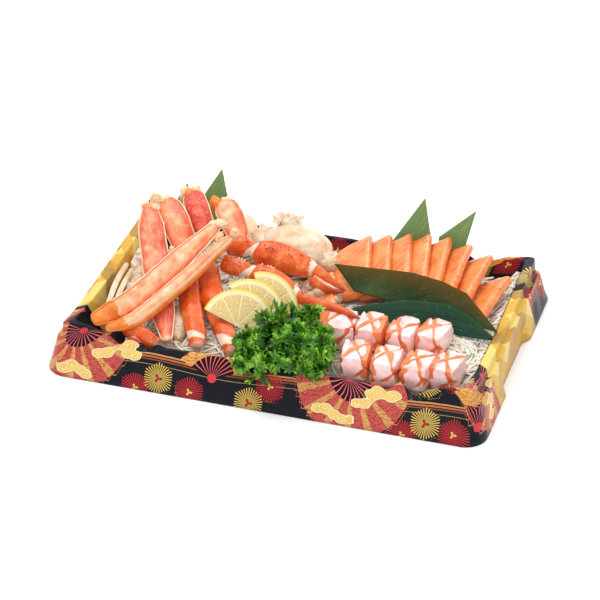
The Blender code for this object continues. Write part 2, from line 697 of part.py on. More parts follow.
def build():
    for old in list(bpy.data.objects):
        bpy.data.objects.remove(old, do_unlink=True)
    plastic = material("printed plastic", (0.02, 0.02, 0.03), 0.25)
    salmon = material("salmon", (0.9, 0.32, 0.12), 0.3)
    belly = material("seared salmon", (0.85, 0.55, 0.5), 0.4)
    meat = material("crab meat", (0.85, 0.35, 0.25), 0.4)
    shell = material("crab shell", (0.85, 0.25, 0.08), 0.35)
    cream = material("crab body", (0.85, 0.75, 0.55), 0.5)
    rind = material("lemon", (0.9, 0.85, 0.2), 0.4)
    leaf = material("bamboo leaf", (0.05, 0.12, 0.06), 0.35)
    green = material("parsley", (0.06, 0.25, 0.03), 0.5)
    white = material("radish", (0.85, 0.83, 0.75), 0.4)

    placed = [make_tray(plastic)]

    def place(piece):
        press_into(piece, placed)
        placed.append(piece)

    for k, (corner, turn) in enumerate(SLICES):
        place(make_slice(f"salmon_slice_{k + 1}", corner, turn, salmon))
    for row, places in (("back", BELLY_BACK), ("front", BELLY_FRONT)):
        for k, centre in enumerate(places):
            place(make_belly(f"seared_{row}_{k + 1}", centre, 8 - 6 * k, k * 3.1, belly))

    place(make_open_leg("leg_crossing_1", CROSSING_1, (10, 11, 9.5), meat))
    place(make_open_leg("leg_crossing_2", CROSSING_2, (7.5, 7.5, 5), meat))
    for k, (route, widths) in enumerate(UPRIGHT):
        place(make_open_leg(f"leg_upright_{k + 1}", route, widths, meat))
    place(make_limb("leg_lower_1", LOWER_1, (8, 10, 10, 9, 9, 6), shell))
    place(make_limb("leg_lower_2", LOWER_2, (8, 10, 11, 10, 9, 5), shell))
    place(make_limb("claw_1", CLAW_1, CLAW_1_WIDTHS, shell, steps=18))
    place(make_limb("claw_2", CLAW_2, CLAW_2_WIDTHS, shell, steps=18))
    for name, lumps in BODY:
        place(make_body(name, lumps, cream))
    for name, route, widths in SHELL_BITS:
        place(make_limb(name, route, widths, shell, sides=7, steps=6))

    for k, (centre, turn) in enumerate(LEMONS):
        place(make_lemon(f"lemon_{k + 1}", centre, turn, rind))
    for k, (upper, lower) in enumerate(LAID):
        place(make_leaf(f"leaf_laid_{k + 1}", upper, lower, leaf))
    for k, (left, right) in enumerate(STANDING):
        place(make_leaf(f"leaf_standing_{k + 1}", left, right, leaf, wave=0, across=2))
    place(make_parsley(green))
    place(make_body("radish_left", (((-162, 42, 20), (13, 36, 19), 0),), white))
    make_radish(white, placed)


build()
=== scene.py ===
import math
import random

import bmesh
import bpy
from mathutils import Matrix, Vector, noise
from mathutils.bvhtree import BVHTree


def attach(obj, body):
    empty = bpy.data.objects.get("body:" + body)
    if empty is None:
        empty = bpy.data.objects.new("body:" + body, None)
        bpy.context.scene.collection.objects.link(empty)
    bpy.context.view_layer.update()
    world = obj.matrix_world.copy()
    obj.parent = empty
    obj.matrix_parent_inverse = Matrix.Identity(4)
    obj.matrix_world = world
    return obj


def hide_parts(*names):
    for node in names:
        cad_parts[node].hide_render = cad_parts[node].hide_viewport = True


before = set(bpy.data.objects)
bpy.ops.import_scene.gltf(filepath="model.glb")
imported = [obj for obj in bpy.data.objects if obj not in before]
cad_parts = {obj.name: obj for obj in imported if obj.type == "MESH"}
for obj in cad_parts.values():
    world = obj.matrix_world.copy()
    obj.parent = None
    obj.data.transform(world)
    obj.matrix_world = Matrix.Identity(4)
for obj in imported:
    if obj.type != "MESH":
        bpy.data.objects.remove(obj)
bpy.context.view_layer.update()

# The view
# The platter stands on a pale table, lit from above and behind by broad soft lamps.
# The camera looks down on it from the front, a little from the right.
AZIMUTH, ELEVATION, DISTANCE, LENS = math.radians(17.2), math.radians(32.5), 2.56, 166.9
LOOKED_AT = Vector((-0.0181, 0.0489, 0))


def linear(code):
    """An sRGB hex colour as linear red, green, blue and alpha."""
    parts = [int(code[k : k + 2], 16) / 255 for k in (0, 2, 4)]
    return tuple([p / 12.92 if p <= 0.04045 else ((p + 0.055) / 1.055) ** 2.4 for p in parts] + [1.0])


def fill(made, *inputs, **named):
    """Puts values, hex colours or other nodes' outputs into a node's inputs, in order or by name."""
    in_order = [socket for socket in made.inputs if socket.enabled]
    by_name = [made.inputs[name.replace("_", " ")] for name in named]
    for socket, value in [*zip(in_order, inputs), *zip(by_name, named.values())]:
        if isinstance(value, bpy.types.NodeSocket):
            made.id_data.links.new(value, socket)
        else:
            socket.default_value = linear(value) if isinstance(value, str) else value


def node(material, kind, *inputs, out=None, stops=(), blend="EASE", **named):
    """Adds a node and gives its first output, or the one named. A kind in capitals is arithmetic.
    Names with a capital are inputs, others are settings; stops are (place, hex colour) of a ramp."""
    made = material.node_tree.nodes.new("ShaderNode" + ("Math" if kind.isupper() else kind))
    if kind.isupper():
        made.operation = kind
    if kind == "Mix":
        made.data_type = "RGBA"
    for name in [name for name in named if name[0].islower()]:
        setattr(made, name, named.pop(name))
    fill(made, *inputs, **named)
    if stops:
        made.color_ramp.interpolation = blend
        for _ in stops[2:]:
            made.color_ramp.elements.new(0.5)
        for element, (place, colour) in zip(made.color_ramp.elements, stops):
            element.position, element.color = place, linear(colour)
    return made.outputs[out] if out else next(socket for socket in made.outputs if socket.enabled)


def surface(name, **inputs):
    """A material with a Principled surface, and that surface's node."""
    material = bpy.data.materials.new(name)
    material.use_nodes = True
    shader = material.node_tree.nodes["Principled BSDF"]
    fill(shader, **inputs)
    return material, shader


camera_data = bpy.data.cameras.new("camera")
camera_data.lens = LENS
camera_data.sensor_width = 36
camera = bpy.data.objects.new("camera", camera_data)
bpy.context.scene.collection.objects.link(camera)
away = Vector((
    math.sin(AZIMUTH) * math.cos(ELEVATION),
    -math.cos(AZIMUTH) * math.cos(ELEVATION),
    math.sin(ELEVATION),
))
camera.location = LOOKED_AT + away * DISTANCE
camera.rotation_euler = (-away).to_track_quat("-Z", "Y").to_euler()
bpy.context.scene.camera = camera

# Broad soft lamps: name, place, width in metres, watts
LAMPS = (
    ("lamp_above", (-0.5, 0.15, 1.35), 1.1, 13),
    ("lamp_behind", (0.5, 1.1, 1.0), 0.9, 9),
    ("lamp_front", (0.5, -1.3, 0.9), 1.2, 7),
)
for name, place, size, power in LAMPS:
    lamp = bpy.data.lights.new(name, "AREA")
    lamp.size = size
    lamp.energy = power
    holder = bpy.data.objects.new(name, lamp)
    holder.location = place
    holder.rotation_euler = Vector(place).to_track_quat("Z", "Y").to_euler()
    bpy.context.scene.collection.objects.link(holder)
bpy.context.scene.view_settings.view_transform = "Standard"
world = bpy.data.worlds.new("studio")
bpy.context.scene.world = world
world.use_nodes = True
fill(world.node_tree.nodes["Background"], Color="FFFFFF", Strength=0.75)

floor_bm = bmesh.new()
bmesh.ops.create_grid(floor_bm, x_segments=1, y_segments=1, size=4)
floor_mesh = bpy.data.meshes.new("table_top")
floor_bm.to_mesh(floor_mesh)
floor = bpy.data.objects.new("table_top", floor_mesh)
bpy.context.scene.collection.objects.link(floor)
# matt pale card with a fine even grain: the eye sees a plain ground that takes soft shadows
paper, paper_shader = surface("pale paper", Roughness=0.9)
grain = node(paper, "TexNoise", Scale=300)
fill(paper_shader, Base_Color=node(paper, "ValToRGB", grain, stops=((0.3, "F2F2F2"), (0.7, "F6F6F6"))))
floor.data.materials.append(paper)

# The tray
# One sheet of black polystyrene with a printed film on it, vacuum formed in one draw. Its long
# sides rise to a wavy crest and its short sides to a flat ledge with a grip cut out of it.

# Sizes in mm: insets are from the outer edge, heights from the table
LENGTH, WIDTH, SHEET = 400, 267, 1.0
OUTER_CORNER, FLOOR_CORNER, FLOOR_INSET = 20, 14, 36
CREASE_INSET, CREASE_HEIGHT, CREST_INSET, CREST_HEIGHT = 13.9, 24.5, 21.8, 34.6
CREST_DROOP, CORNER_RISE = 6.8, 14.5
CREST_WAVES = ((106, 8, 2.5), (116, 8, -3.0), (130, 10, 8.0), (146, 10, -3.5))  # at X, half length, rise
LEDGE_INSET, LEDGE_WIDTH, LEDGE_HEIGHT, LEDGE_RISE = 14.0, 7.4, 35.5, 8.5
RIDGE_INSET, RIDGE_HEIGHT = 8.5, 30.5
GRIP_HALF, GRIP_DEPTH, NOTCH_HALF, NOTCH_DEPTH = 48, 6, 15, 4
STRAIGHT_X, STRAIGHT_Y = LENGTH / 2 - OUTER_CORNER, WIDTH / 2 - OUTER_CORNER
CORNER_LENGTH = 12 * math.pi / 2  # the print's length round a corner
PATTERN_START = 68  # how far from its middle a short side changes from gold to the flower print


def ease(value, start, end):
    """Rises smoothly from 0 at start to 1 at end."""
    t = min(max((value - start) / (end - start), 0), 1)
    return t * t * (3 - 2 * t)


def marked_mesh(*marks):
    """An empty mesh with a UV map and the marks (three numbers a point) that its material reads."""
    bm = bmesh.new()
    bm.loops.layers.uv.new("UVMap")
    for mark in marks:
        bm.verts.layers.float_vector.new(mark)
    return bm


def bent_grid(columns, rows, shape):
    """A grid bent into shape: shape(column, row), both from 0 to 1, gives each point in mm."""
    bm = marked_mesh()
    bmesh.ops.create_grid(bm, x_segments=columns, y_segments=rows, size=0.5, calc_uvs=True)
    for vert in bm.verts:
        vert.co = Vector(shape(vert.co.x + 0.5, vert.co.y + 0.5))
    return bm


def finished(bm, name, material, slot, *nodes, weld=0.001, thickness=0):
    """Welds and turns the faces out, then makes the piece in metres and has it ride on the tray."""
    bmesh.ops.remove_doubles(bm, verts=bm.verts, dist=weld)
    bmesh.ops.dissolve_degenerate(bm, edges=bm.edges, dist=weld / 10)
    bmesh.ops.recalc_face_normals(bm, faces=bm.faces)
    for face in bm.faces:
        face.smooth = True
    bmesh.ops.scale(bm, vec=(0.001, 0.001, 0.001), verts=bm.verts)
    mesh = bpy.data.meshes.new(name)
    bm.to_mesh(mesh)
    bm.free()
    mesh.materials.append(material)
    piece = bpy.data.objects.new(name, mesh)
    bpy.context.scene.collection.objects.link(piece)
    if thickness:
        wall = piece.modifiers.new("Solidify", "SOLIDIFY")
        wall.thickness = thickness * 0.001
        wall.offset = -1
    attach(piece, "root")
    if nodes:
        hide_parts(*nodes)


def rim_stations():
    """Places round the edge: turn (0 long side, 1 short side, between them a corner), place along X,
    place along Y, and the share of the short side's profile."""
    along_x = [STRAIGHT_X * (k / 90 - 1) for k in range(181)]
    along_y = [STRAIGHT_Y * (k / 50 - 1) for k in range(101)]
    turns = [k / 10 for k in range(1, 10)]
    made = [(0, x, -STRAIGHT_Y, 0) for x in along_x]
    made += [(t, STRAIGHT_X, -STRAIGHT_Y, t) for t in turns]
    made += [(1, STRAIGHT_X, y, 1) for y in along_y]
    made += [(1 - t, STRAIGHT_X, STRAIGHT_Y, 1 - t) for t in turns]
    made += [(0, -x, STRAIGHT_Y, 0) for x in along_x]
    made += [(t, -STRAIGHT_X, STRAIGHT_Y, t) for t in turns]
    made += [(1, -STRAIGHT_X, -y, 1) for y in along_y]
    made += [(1 - t, -STRAIGHT_X, -STRAIGHT_Y, 1 - t) for t in turns]
    return made + made[:1]


def rim_place(station, inset, radius):
    """Where a station lies on the rounded rectangle that is this far inside the edge."""
    turn, x, y, _ = station
    sign_x, sign_y = math.copysign(1, x), math.copysign(1, y)
    straight_x = LENGTH / 2 - inset - radius
    straight_y = WIDTH / 2 - inset - radius
    if turn in (0, 1):
        side_x = x / STRAIGHT_X * straight_x + (sign_x * radius if turn else 0)
        side_y = y / STRAIGHT_Y * straight_y + (0 if turn else sign_y * radius)
        return side_x, side_y
    angle = turn * math.pi / 2
    corner_x, corner_y = straight_x + radius * math.sin(angle), straight_y + radius * math.cos(angle)
    return sign_x * corner_x, sign_y * corner_y


def rim_profile(station):
    """The sheet's upper face across the rim, as (inset, height), from its outer edge to the floor."""
    x, y = rim_place(station, 0, OUTER_CORNER)
    share = station[3]
    crest = CREST_HEIGHT - CREST_DROOP * (x / (LENGTH / 2)) ** 2 + CORNER_RISE * ease(abs(x), 138, 182)
    for centre, half, rise in CREST_WAVES:
        crest += rise * max(0, 1 - abs(abs(x) - centre) / half)
    long_side = (
        (0, 0), (CREASE_INSET * 0.5, CREASE_HEIGHT * 0.52), (CREASE_INSET, CREASE_HEIGHT),
        (CREASE_INSET + 3.4, (CREASE_HEIGHT + crest) / 2), (CREST_INSET, crest), (CREST_INSET + 2.2, crest),
        (FLOOR_INSET - 3, 3.5), (FLOOR_INSET, SHEET),
    )
    grip = GRIP_DEPTH * (1 - ease(abs(y), GRIP_HALF - 12, GRIP_HALF))
    notch = max(0, 1 - abs(y) / NOTCH_HALF)
    tab = max(0, 1 - abs(abs(y) - NOTCH_HALF / 2) / (NOTCH_HALF / 2))
    ledge = LEDGE_HEIGHT + LEDGE_RISE * (abs(y) / STRAIGHT_Y) ** 2
    facet = 1.6 * math.cos(y / 12 * math.pi)
    short_side = (
        (grip, 0), (grip * 0.8 + 3.6 + facet * 0.4, RIDGE_HEIGHT * 0.45), (RIDGE_INSET, RIDGE_HEIGHT),
        (LEDGE_INSET - 1.5, RIDGE_HEIGHT - 1), (LEDGE_INSET, ledge + 2 * tab),
        (LEDGE_INSET + LEDGE_WIDTH, ledge - NOTCH_DEPTH * notch), (FLOOR_INSET - 3 + facet, 3.5),
        (FLOOR_INSET, SHEET),
    )
    return [Vector(a).lerp(Vector(b), share) for a, b in zip(long_side, short_side)]


STATIONS = rim_stations()
PROFILES = [rim_profile(station) for station in STATIONS]
# Places across the profile, in steps of its corners: close together beside each crease
ROWS = [0, 0.3, 0.7, 1, 1.35, 1.7, 1.93, 2, 2.1, 2.4, 2.7, 3, 3.3, 3.6, 3.9, 4, 4.1, 4.9, 5, 5.05]
ROWS += [5.2, 5.4, 5.6, 5.8, 5.97, 6, 6.5, 7]


def rim_point(station, profile, row):
    """A place on the rim, and its distance across the print from the outer edge."""
    k = min(int(row), 6)
    inset, height = profile[k].lerp(profile[k + 1], row - k)
    across = sum((b - a).length for a, b in zip(profile[:k], profile[1 : k + 1]))
    across += (profile[k + 1] - profile[k]).length * (row - k)
    radius = max(OUTER_CORNER - inset, FLOOR_CORNER * inset / FLOOR_INSET, 4)
    x, y = rim_place(station, inset, radius)
    if 2 < row < 5:
        # the film crumples a little over the mould's creases
        fold = noise.ridged_multi_fractal(Vector((x, y * 2, height)) / 16, 1.0, 2.0, 3, 0.8, 2.0)
        height += (0.55 - fold * 0.5) * 1.6 * math.sin((row - 2) / 3 * math.pi) * (1 - station[3] * 0.7)
    return Vector((x, y, max(height, 0.5))), across


def print_length(station):
    """Place along the flower print, 0 at the middle of a long side, on round the corners."""
    turn, x, y, _ = station
    sign = math.copysign(1, x)
    if turn == 0:
        return x
    if turn == 1:
        return sign * (STRAIGHT_X + CORNER_LENGTH + STRAIGHT_Y - abs(y))
    return sign * (STRAIGHT_X + CORNER_LENGTH * turn)


# The print's motifs, as (along, across) in mm: red and gold pine needle rounds; open fans, whose
# leaf is a wide pink field; half fans with a red handle; and cloud lobes with their radii
MOTIFS = {
    "red_round": ((-113.6, 2), (-64, 6), (7.7, 22.8), (128.5, 1.6), (173, 9), (2, 55), (-70, 60), (178, 58),
                  (-150, 54)),
    "gold_round": ((-93.6, 13.2), (-9.7, 5.7), (147.7, 14.5), (-26, 64), (60, 62), (153, 51), (205, 58),
                   (-250, 20)),
    "fan": ((-174, 43.5), (80.8, 42), (232, 47)),
    "handle": ((-45.2, 21.5), (193, 15.5), (112, 62)),
}
REACH = {"red_round": 16, "gold_round": 16, "fan": 54, "handle": 37}
ROUND_RADIUS, FAN_RADIUS, FAN_HEART, HALF_FAN_RADIUS, HALF_FAN_HEART, LOZENGE = 12.6, 51, 15.5, 34, 20.5, 26
CLOUDS = (
    (-181, 8, 6), (-174, 12, 6.5), (-166, 9, 6), (-160, 6, 6), (-151, 26, 6), (-144, 28, 6.5),
    (-137, 36, 7), (-129, 37, 7), (-124, 30, 6), (-118, 29, 5.5), (52, 12, 5.5), (59, 13, 6.5),
    (67, 9, 6), (75, 6, 6), (82, 7, 5), (86, 22, 5.5), (93, 23, 6), (99, 31, 6), (107, 34, 7),
    (115, 32, 6), (121, 34, 5), (212, 30, 7), (221, 26, 7), (230, 20, 6), (238, 32, 6), (222, 10, 6),
)

# The far long side and its corners have rounds and half fans alone
FAR_MOTIFS = {
    "red_round": ((2, 55), (-70, 60), (60, 24), (178, 58), (-150, 54), (-30, 16), (120, 12), (206, 24),
                  (240, 30)),
    "gold_round": ((-26, 64), (60, 62), (150, 58), (-100, 22), (12, 10), (90, 16), (222, 46),
                   (-212, 40)),
    "fan": (), "handle": ((112, 62), (-60, 16), (170, 20)),
}


def nearest(motifs, along, across, motif):
    """Offset from the nearest motif of a kind, or a far one where none reaches."""
    none = Vector((0, 200, 0))
    offsets = [Vector((along - a, across - b, 0)) for a, b in motifs[motif]] + [none]
    offset = min(offsets, key=lambda d: d.length)
    return offset if offset.length < REACH[motif] else none


bm = marked_mesh("place", *MOTIFS)
bm.verts.layers.float.new("cloud")
columns, rows = len(STATIONS) - 1, len(ROWS) - 1
bmesh.ops.create_grid(bm, x_segments=columns, y_segments=rows, size=0.5, calc_uvs=True)
for vert in bm.verts:
    k = round((vert.co.x + 0.5) * columns)
    row = ROWS[round((vert.co.y + 0.5) * rows)]
    station = STATIONS[k]
    vert.co, across = rim_point(station, PROFILES[k], row)
    along = print_length(station)
    # the gold of the left side reaches further towards both corners
    more = (0, 0) if station[1] > 0 else (12, 22)
    gold = station[0] == 1 and -PATTERN_START - more[0] < station[2] < PATTERN_START + more[1]
    place = (station[2] if gold else along, across, 1.0 if gold else 0.0)
    vert[bm.verts.layers.float_vector["place"]] = place
    for name in MOTIFS:
        motifs = FAR_MOTIFS if station[2] > 0 else MOTIFS
        vert[bm.verts.layers.float_vector[name]] = nearest(motifs, along, across, name)
    cloud = min(math.hypot(along - a, (across - b) * 1.5) - r for a, b, r in CLOUDS)
    vert[bm.verts.layers.float["cloud"]] = cloud if station[2] < 0 else 9
bmesh.ops.remove_doubles(bm, verts=bm.verts, dist=0.001)
rim_edges = [e for e in bm.edges if e.is_boundary and all(v.co.z > 0.5 * SHEET for v in e.verts)]
bmesh.ops.holes_fill(bm, edges=rim_edges)

# clear film printed from behind and drawn over black polystyrene: flat inks with sharp edges under a
# low plastic gloss, a little dented where the mould stretched it
film, film_shader = surface(
    "film on polystyrene", Roughness=0.28, Specular_IOR_Level=0.14, Coat_Weight=0.08,
)


def turned(motif):
    """Radius and angle about a motif's middle."""
    offset = node(film, "Attribute", attribute_name=motif, out="Vector")
    x, y, _ = node(film, "SeparateXYZ", offset).node.outputs
    return node(film, "VectorMath", offset, operation="LENGTH"), node(film, "ARCTAN2", y, x)


place = node(film, "Attribute", attribute_name="place", out="Vector")
along, across, gold_side = node(film, "SeparateXYZ", place).node.outputs
fleck = node(film, "TexNoise", Scale=260, Detail=3)
colour = node(film, "Mix", fleck, "0B0D14", "161922")

# three cords and a thin gold line that run along the crease: shift, half width, ink
CORDS = ((0, 0.75, "B4663A"), (2.3, 0.65, "C98B52"), (-2.2, 0.45, "8E4A2B"), (-6.5, 0.2, "B79A55"))
wander = node(film, "SINE", node(film, "MULTIPLY", along, 0.045))
line_at = node(film, "MULTIPLY_ADD", wander, 1.6, 29.5)
for shift, half, ink in CORDS:
    off = node(film, "ABSOLUTE", node(film, "SUBTRACT", node(film, "SUBTRACT", across, shift), line_at))
    colour = node(film, "Mix", node(film, "LESS_THAN", off, half), colour, ink)

# pine needle rounds, hexagonal, with a three-petalled centre in the other colour
for motif, ink, heart in (("gold_round", "D8B65A", "B3202A"), ("red_round", "BF2A31", "D8B65A")):
    radius, angle = turned(motif)
    corner_fold = node(film, "PINGPONG", angle, math.pi / 6)
    inside = node(film, "MULTIPLY", radius, node(film, "COSINE", corner_fold))
    inside = node(film, "LESS_THAN", inside, ROUND_RADIUS)
    spread = node(film, "MULTIPLY_ADD", radius, 0.085, -0.62)
    needles = node(film, "GREATER_THAN", node(film, "SINE", node(film, "MULTIPLY", angle, 32)), spread)
    colour = node(film, "Mix", node(film, "MULTIPLY", inside, needles), colour, ink)
    petals = node(film, "MULTIPLY_ADD", node(film, "COSINE", node(film, "MULTIPLY", angle, 3)), 1.5, 1.9)
    outlined = node(film, "LESS_THAN", radius, node(film, "ADD", petals, 0.6))
    colour = node(film, "Mix", outlined, colour, "0A0B10")
    colour = node(film, "Mix", node(film, "LESS_THAN", radius, petals), colour, heart)

# open fans: a black heart with red ribs, then the pink leaf with tan bands and gold specks
radius, angle = turned("fan")
leaf_fleck = node(film, "TexVoronoi", Scale=420)
leaf = node(film, "Mix", fleck, "AC2E36", "BE4A50")
bands = node(film, "GREATER_THAN", node(film, "SINE", node(film, "MULTIPLY", angle, 15)), 0.45)
leaf = node(film, "Mix", bands, leaf, "C99558")
leaf = node(film, "Mix", node(film, "LESS_THAN", leaf_fleck, 0.26), leaf, "DDB96A")
flower = node(film, "TexNoise", Scale=110, Detail=1)
leaf = node(film, "Mix", node(film, "GREATER_THAN", flower, 0.6), leaf, "8F1F2B")
below = node(film, "LESS_THAN", node(film, "SINE", angle), 0.3)
spread = node(film, "MULTIPLY", below, node(film, "LESS_THAN", radius, FAN_RADIUS))
colour = node(film, "Mix", spread, colour, leaf)
# the fans right of the middle have the larger heart
heart = node(film, "MULTIPLY_ADD", node(film, "GREATER_THAN", along, 0), 4.5, FAN_HEART)
heart = node(film, "MULTIPLY", node(film, "LESS_THAN", radius, heart), below)
colour = node(film, "Mix", heart, colour, "0B0B0F")
ribs = node(film, "GREATER_THAN", node(film, "SINE", node(film, "MULTIPLY", angle, 26)), 0.72)
colour = node(film, "Mix", node(film, "MULTIPLY", ribs, heart), colour, "DC6268")
colour = node(film, "Mix", node(film, "LESS_THAN", radius, 3), colour, "C23340")

# clouds over the leaf: gold scallops inside a pale outline
cloud = node(film, "Attribute", attribute_name="cloud", out="Fac")
colour = node(film, "Mix", node(film, "LESS_THAN", cloud, 0.6), colour, "F0E2B8")
scales = node(film, "SINE", node(film, "MULTIPLY", cloud, 3.4))
scales = node(film, "Mix", scales, "D9B560", "E9D190")
colour = node(film, "Mix", node(film, "LESS_THAN", cloud, -0.1), colour, scales)

# half fans: ribs that rise from a red handle to a band of gold and red
radius, angle = turned("handle")
above = node(film, "GREATER_THAN", node(film, "SINE", angle), 0.33)
# the one on the corner opens less far towards the front
corner = node(film, "MULTIPLY_ADD", node(film, "GREATER_THAN", along, 150), 0.55, -1)
above = node(film, "MULTIPLY", above, node(film, "GREATER_THAN", node(film, "COSINE", angle), corner))
band = node(film, "Mix", node(film, "GREATER_THAN", flower, 0.56), "D3A552", "B3202A")
spread = node(film, "MULTIPLY", above, node(film, "LESS_THAN", radius, HALF_FAN_RADIUS))
colour = node(film, "Mix", spread, colour, band)
heart = node(film, "MULTIPLY", above, node(film, "LESS_THAN", radius, HALF_FAN_HEART))
colour = node(film, "Mix", heart, colour, "0B0B0F")
ribs = node(film, "GREATER_THAN", node(film, "SINE", node(film, "MULTIPLY", angle, 27)), 0.7)
colour = node(film, "Mix", node(film, "MULTIPLY", ribs, heart), colour, "DB5C62")
colour = node(film, "Mix", node(film, "LESS_THAN", radius, 4), colour, "CE3B47")

# short sides: lozenges of four golds, brushed fine
lean_left = node(film, "MULTIPLY_ADD", across, 1.1, along)
lean_right = node(film, "MULTIPLY_ADD", across, -1.1, along)
check = node(film, "CombineXYZ", lean_left, lean_right)
cell = node(film, "VectorMath", check, (LOZENGE, LOZENGE, 1), operation="SNAP")
pick = node(film, "TexWhiteNoise", Vector=cell)
golds = node(
    film, "ValToRGB", pick,
    stops=((0, "CDA030"), (0.3, "E0C46C"), (0.6, "A67C3A"), (0.8, "B98820")),
    blend="CONSTANT",
)
brushed = node(film, "TexNoise", Scale=900, Detail=2)
golds = node(film, "Mix", node(film, "MULTIPLY", brushed, 0.22), golds, "EBD58C")
colour = node(film, "Mix", node(film, "GREATER_THAN", gold_side, 0.5), colour, golds)
crumple = node(film, "TexNoise", Scale=90, Detail=4)
crumple = node(film, "Bump", Strength=0.12, Distance=0.0015, Height=crumple)
fill(film_shader, Base_Color=colour, Normal=crumple)
finished(bm, "printed_tray", film, "printed_plastic", "tray", thickness=SHEET)

# The shredded radish
# White radish cut in long fine shreds, heaped wet on the tray's floor as the bed for everything
# else. The heap is the solid's own shape, and its loose shreds lie on it in every direction.
SHRED_WIDTH, SHRED_DEPTH, SHRED_SPAN, SHREDS = 1.8, 1.3, 34, 1500
HEAP_X, HEAP_Y = (-172, 176), (-100, 104)  # where loose shreds may lie
BARE_X, BARE_Y = (118, 176), (-98, 20)  # where no food covers the heap, at the right

# raw white radish cut by a fine blade: wet and half clear, so that it glows cream where it is thin
flesh, flesh_shader = surface(
    "wet radish", Roughness=0.4, Subsurface_Weight=0.3, Subsurface_Scale=0.003, Specular_IOR_Level=0.4,
    Subsurface_Radius=(1, 0.9, 0.7),
)
place = node(flesh, "TexCoord", out="Object")
tone = node(flesh, "TexNoise", Vector=place, Scale=120, Detail=3)
tone = node(flesh, "ValToRGB", tone, stops=((0.3, "E9DAC0"), (0.5, "F6EDDC"), (0.7, "FEFAF0")))
threads = node(flesh, "TexWave", Vector=place, Scale=500, Distortion=30, out="Fac")
threads = node(flesh, "Bump", Strength=0.3, Distance=0.0004, Height=threads)
fill(flesh_shader, Base_Color=tone, Normal=threads)

# the same radish pressed together below: its shadowed shreds read as one warmer, rougher mass
packed, packed_shader = surface(
    "packed radish", Roughness=0.6, Specular_IOR_Level=0.25, Subsurface_Weight=0.4,
    Subsurface_Scale=0.004, Subsurface_Radius=(1, 0.85, 0.6),
)
place = node(packed, "TexCoord", out="Object")
threads = node(packed, "TexWave", Vector=place, Scale=190, Distortion=26, Detail=3, out="Fac")
tone = node(packed, "ValToRGB", threads, stops=((0.1, "E2CDAA"), (0.5, "F1E3CC"), (0.85, "FBF4E8")))
relief = node(packed, "Bump", Strength=0.5, Distance=0.001, Height=threads)
fill(packed_shader, Base_Color=tone, Normal=relief)


def solid_tree(*names):
    """The named solids as one tree to cast rays at, in metres."""
    merged = bmesh.new()
    for name in names:
        merged.from_mesh(bpy.data.objects[name].data)
    tree = BVHTree.FromBMesh(merged)
    merged.free()
    return tree


NODES = sorted(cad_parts)
HEAPS = ("radish_bed", "radish_left")
for name in HEAPS:
    heap = bpy.data.objects[name]
    heap.data.materials.clear()
    heap.data.materials.append(packed)
heap_tree = solid_tree(*HEAPS)
others_tree = solid_tree(*[name for name in NODES if name not in HEAPS])
food_tree = solid_tree(*[name for name in NODES if name not in (*HEAPS, "tray")])


def shred_shape(u, v):
    """A straight strip of four sides that closes to a point at both ends."""
    angle, share = u * math.tau + 0.8, 1 if 0.01 < v < 0.99 else 0
    side, rise = SHRED_WIDTH / 1.41 * share, SHRED_DEPTH / 1.41 * share
    return (v - 0.5) * SHRED_SPAN, math.cos(angle) * side, math.sin(angle) * rise


def small_mesh(bm, name):
    """Welds a small shape and keeps it as a mesh, to be copied many times."""
    bmesh.ops.remove_doubles(bm, verts=bm.verts, dist=0.001)
    mesh = bpy.data.meshes.new(name)
    bm.to_mesh(mesh)
    bm.free()
    return mesh


strip_mesh = small_mesh(bent_grid(4, 7, shred_shape), "strip")
draw = random.Random(5)
bm = bmesh.new()


def copied_in(mesh):
    """Adds a copy of the mesh to bm and gives its vertices."""
    first = len(bm.verts)
    bm.from_mesh(mesh)
    bm.verts.ensure_lookup_table()
    return bm.verts[first:]


def lay_shred(route):
    """Bends one strip along the seven places of its route."""
    for vert in copied_in(strip_mesh):
        at = (vert.co.x / SHRED_SPAN + 0.5) * 6
        k = min(int(at), 5)
        ahead = (route[k + 1] - route[k]).normalized()
        side = Vector((-ahead.y, ahead.x, 0)).normalized()
        vert.co = route[k].lerp(route[k + 1], at - k) + side * vert.co.y + Vector((0, 0, vert.co.z))


# each is laid at random, one in three of them where no food covers the heap; one that would hang over
# an edge or touch other food is left out
laid = 0
for attempt in range(SHREDS * 6):
    if attempt % 3:
        middle = Vector((draw.uniform(*HEAP_X), draw.uniform(*HEAP_Y), 0))
    else:
        middle = Vector((draw.uniform(*BARE_X), draw.uniform(*BARE_Y), 0))
    heading, bend, span = draw.uniform(0, math.pi), draw.uniform(-0.03, 0.03), draw.uniform(0.5, 1.1)
    rise, tip = draw.uniform(0.2, 4.5), draw.uniform(-0.12, 0.12)
    route = []
    for k in range(-3, 4):
        along = k / 6 * SHRED_SPAN * span
        turn = heading + bend * along
        route.append(middle + Vector((math.cos(turn), math.sin(turn), 0)) * along)
    heights = []
    for point in route:
        hit = heap_tree.ray_cast(Vector((point.x, point.y, 90)) * 0.001, Vector((0, 0, -1)))[0]
        heights.append(hit.z * 1000 if hit else None)
    if None in heights or max(heights) - min(heights) > 14:
        continue
    level = sum(heights) / 7
    for k, point in enumerate(route):
        point.z = max(heights[k] + 0.2, heights[k] * 0.5 + level * 0.5) + rise + tip * (k - 3) * 3
    if any(others_tree.find_nearest(point * 0.001, 0.0016)[0] is not None for point in route):
        continue
    lay_shred(route)
    laid += 1
    if laid == SHREDS:
        break
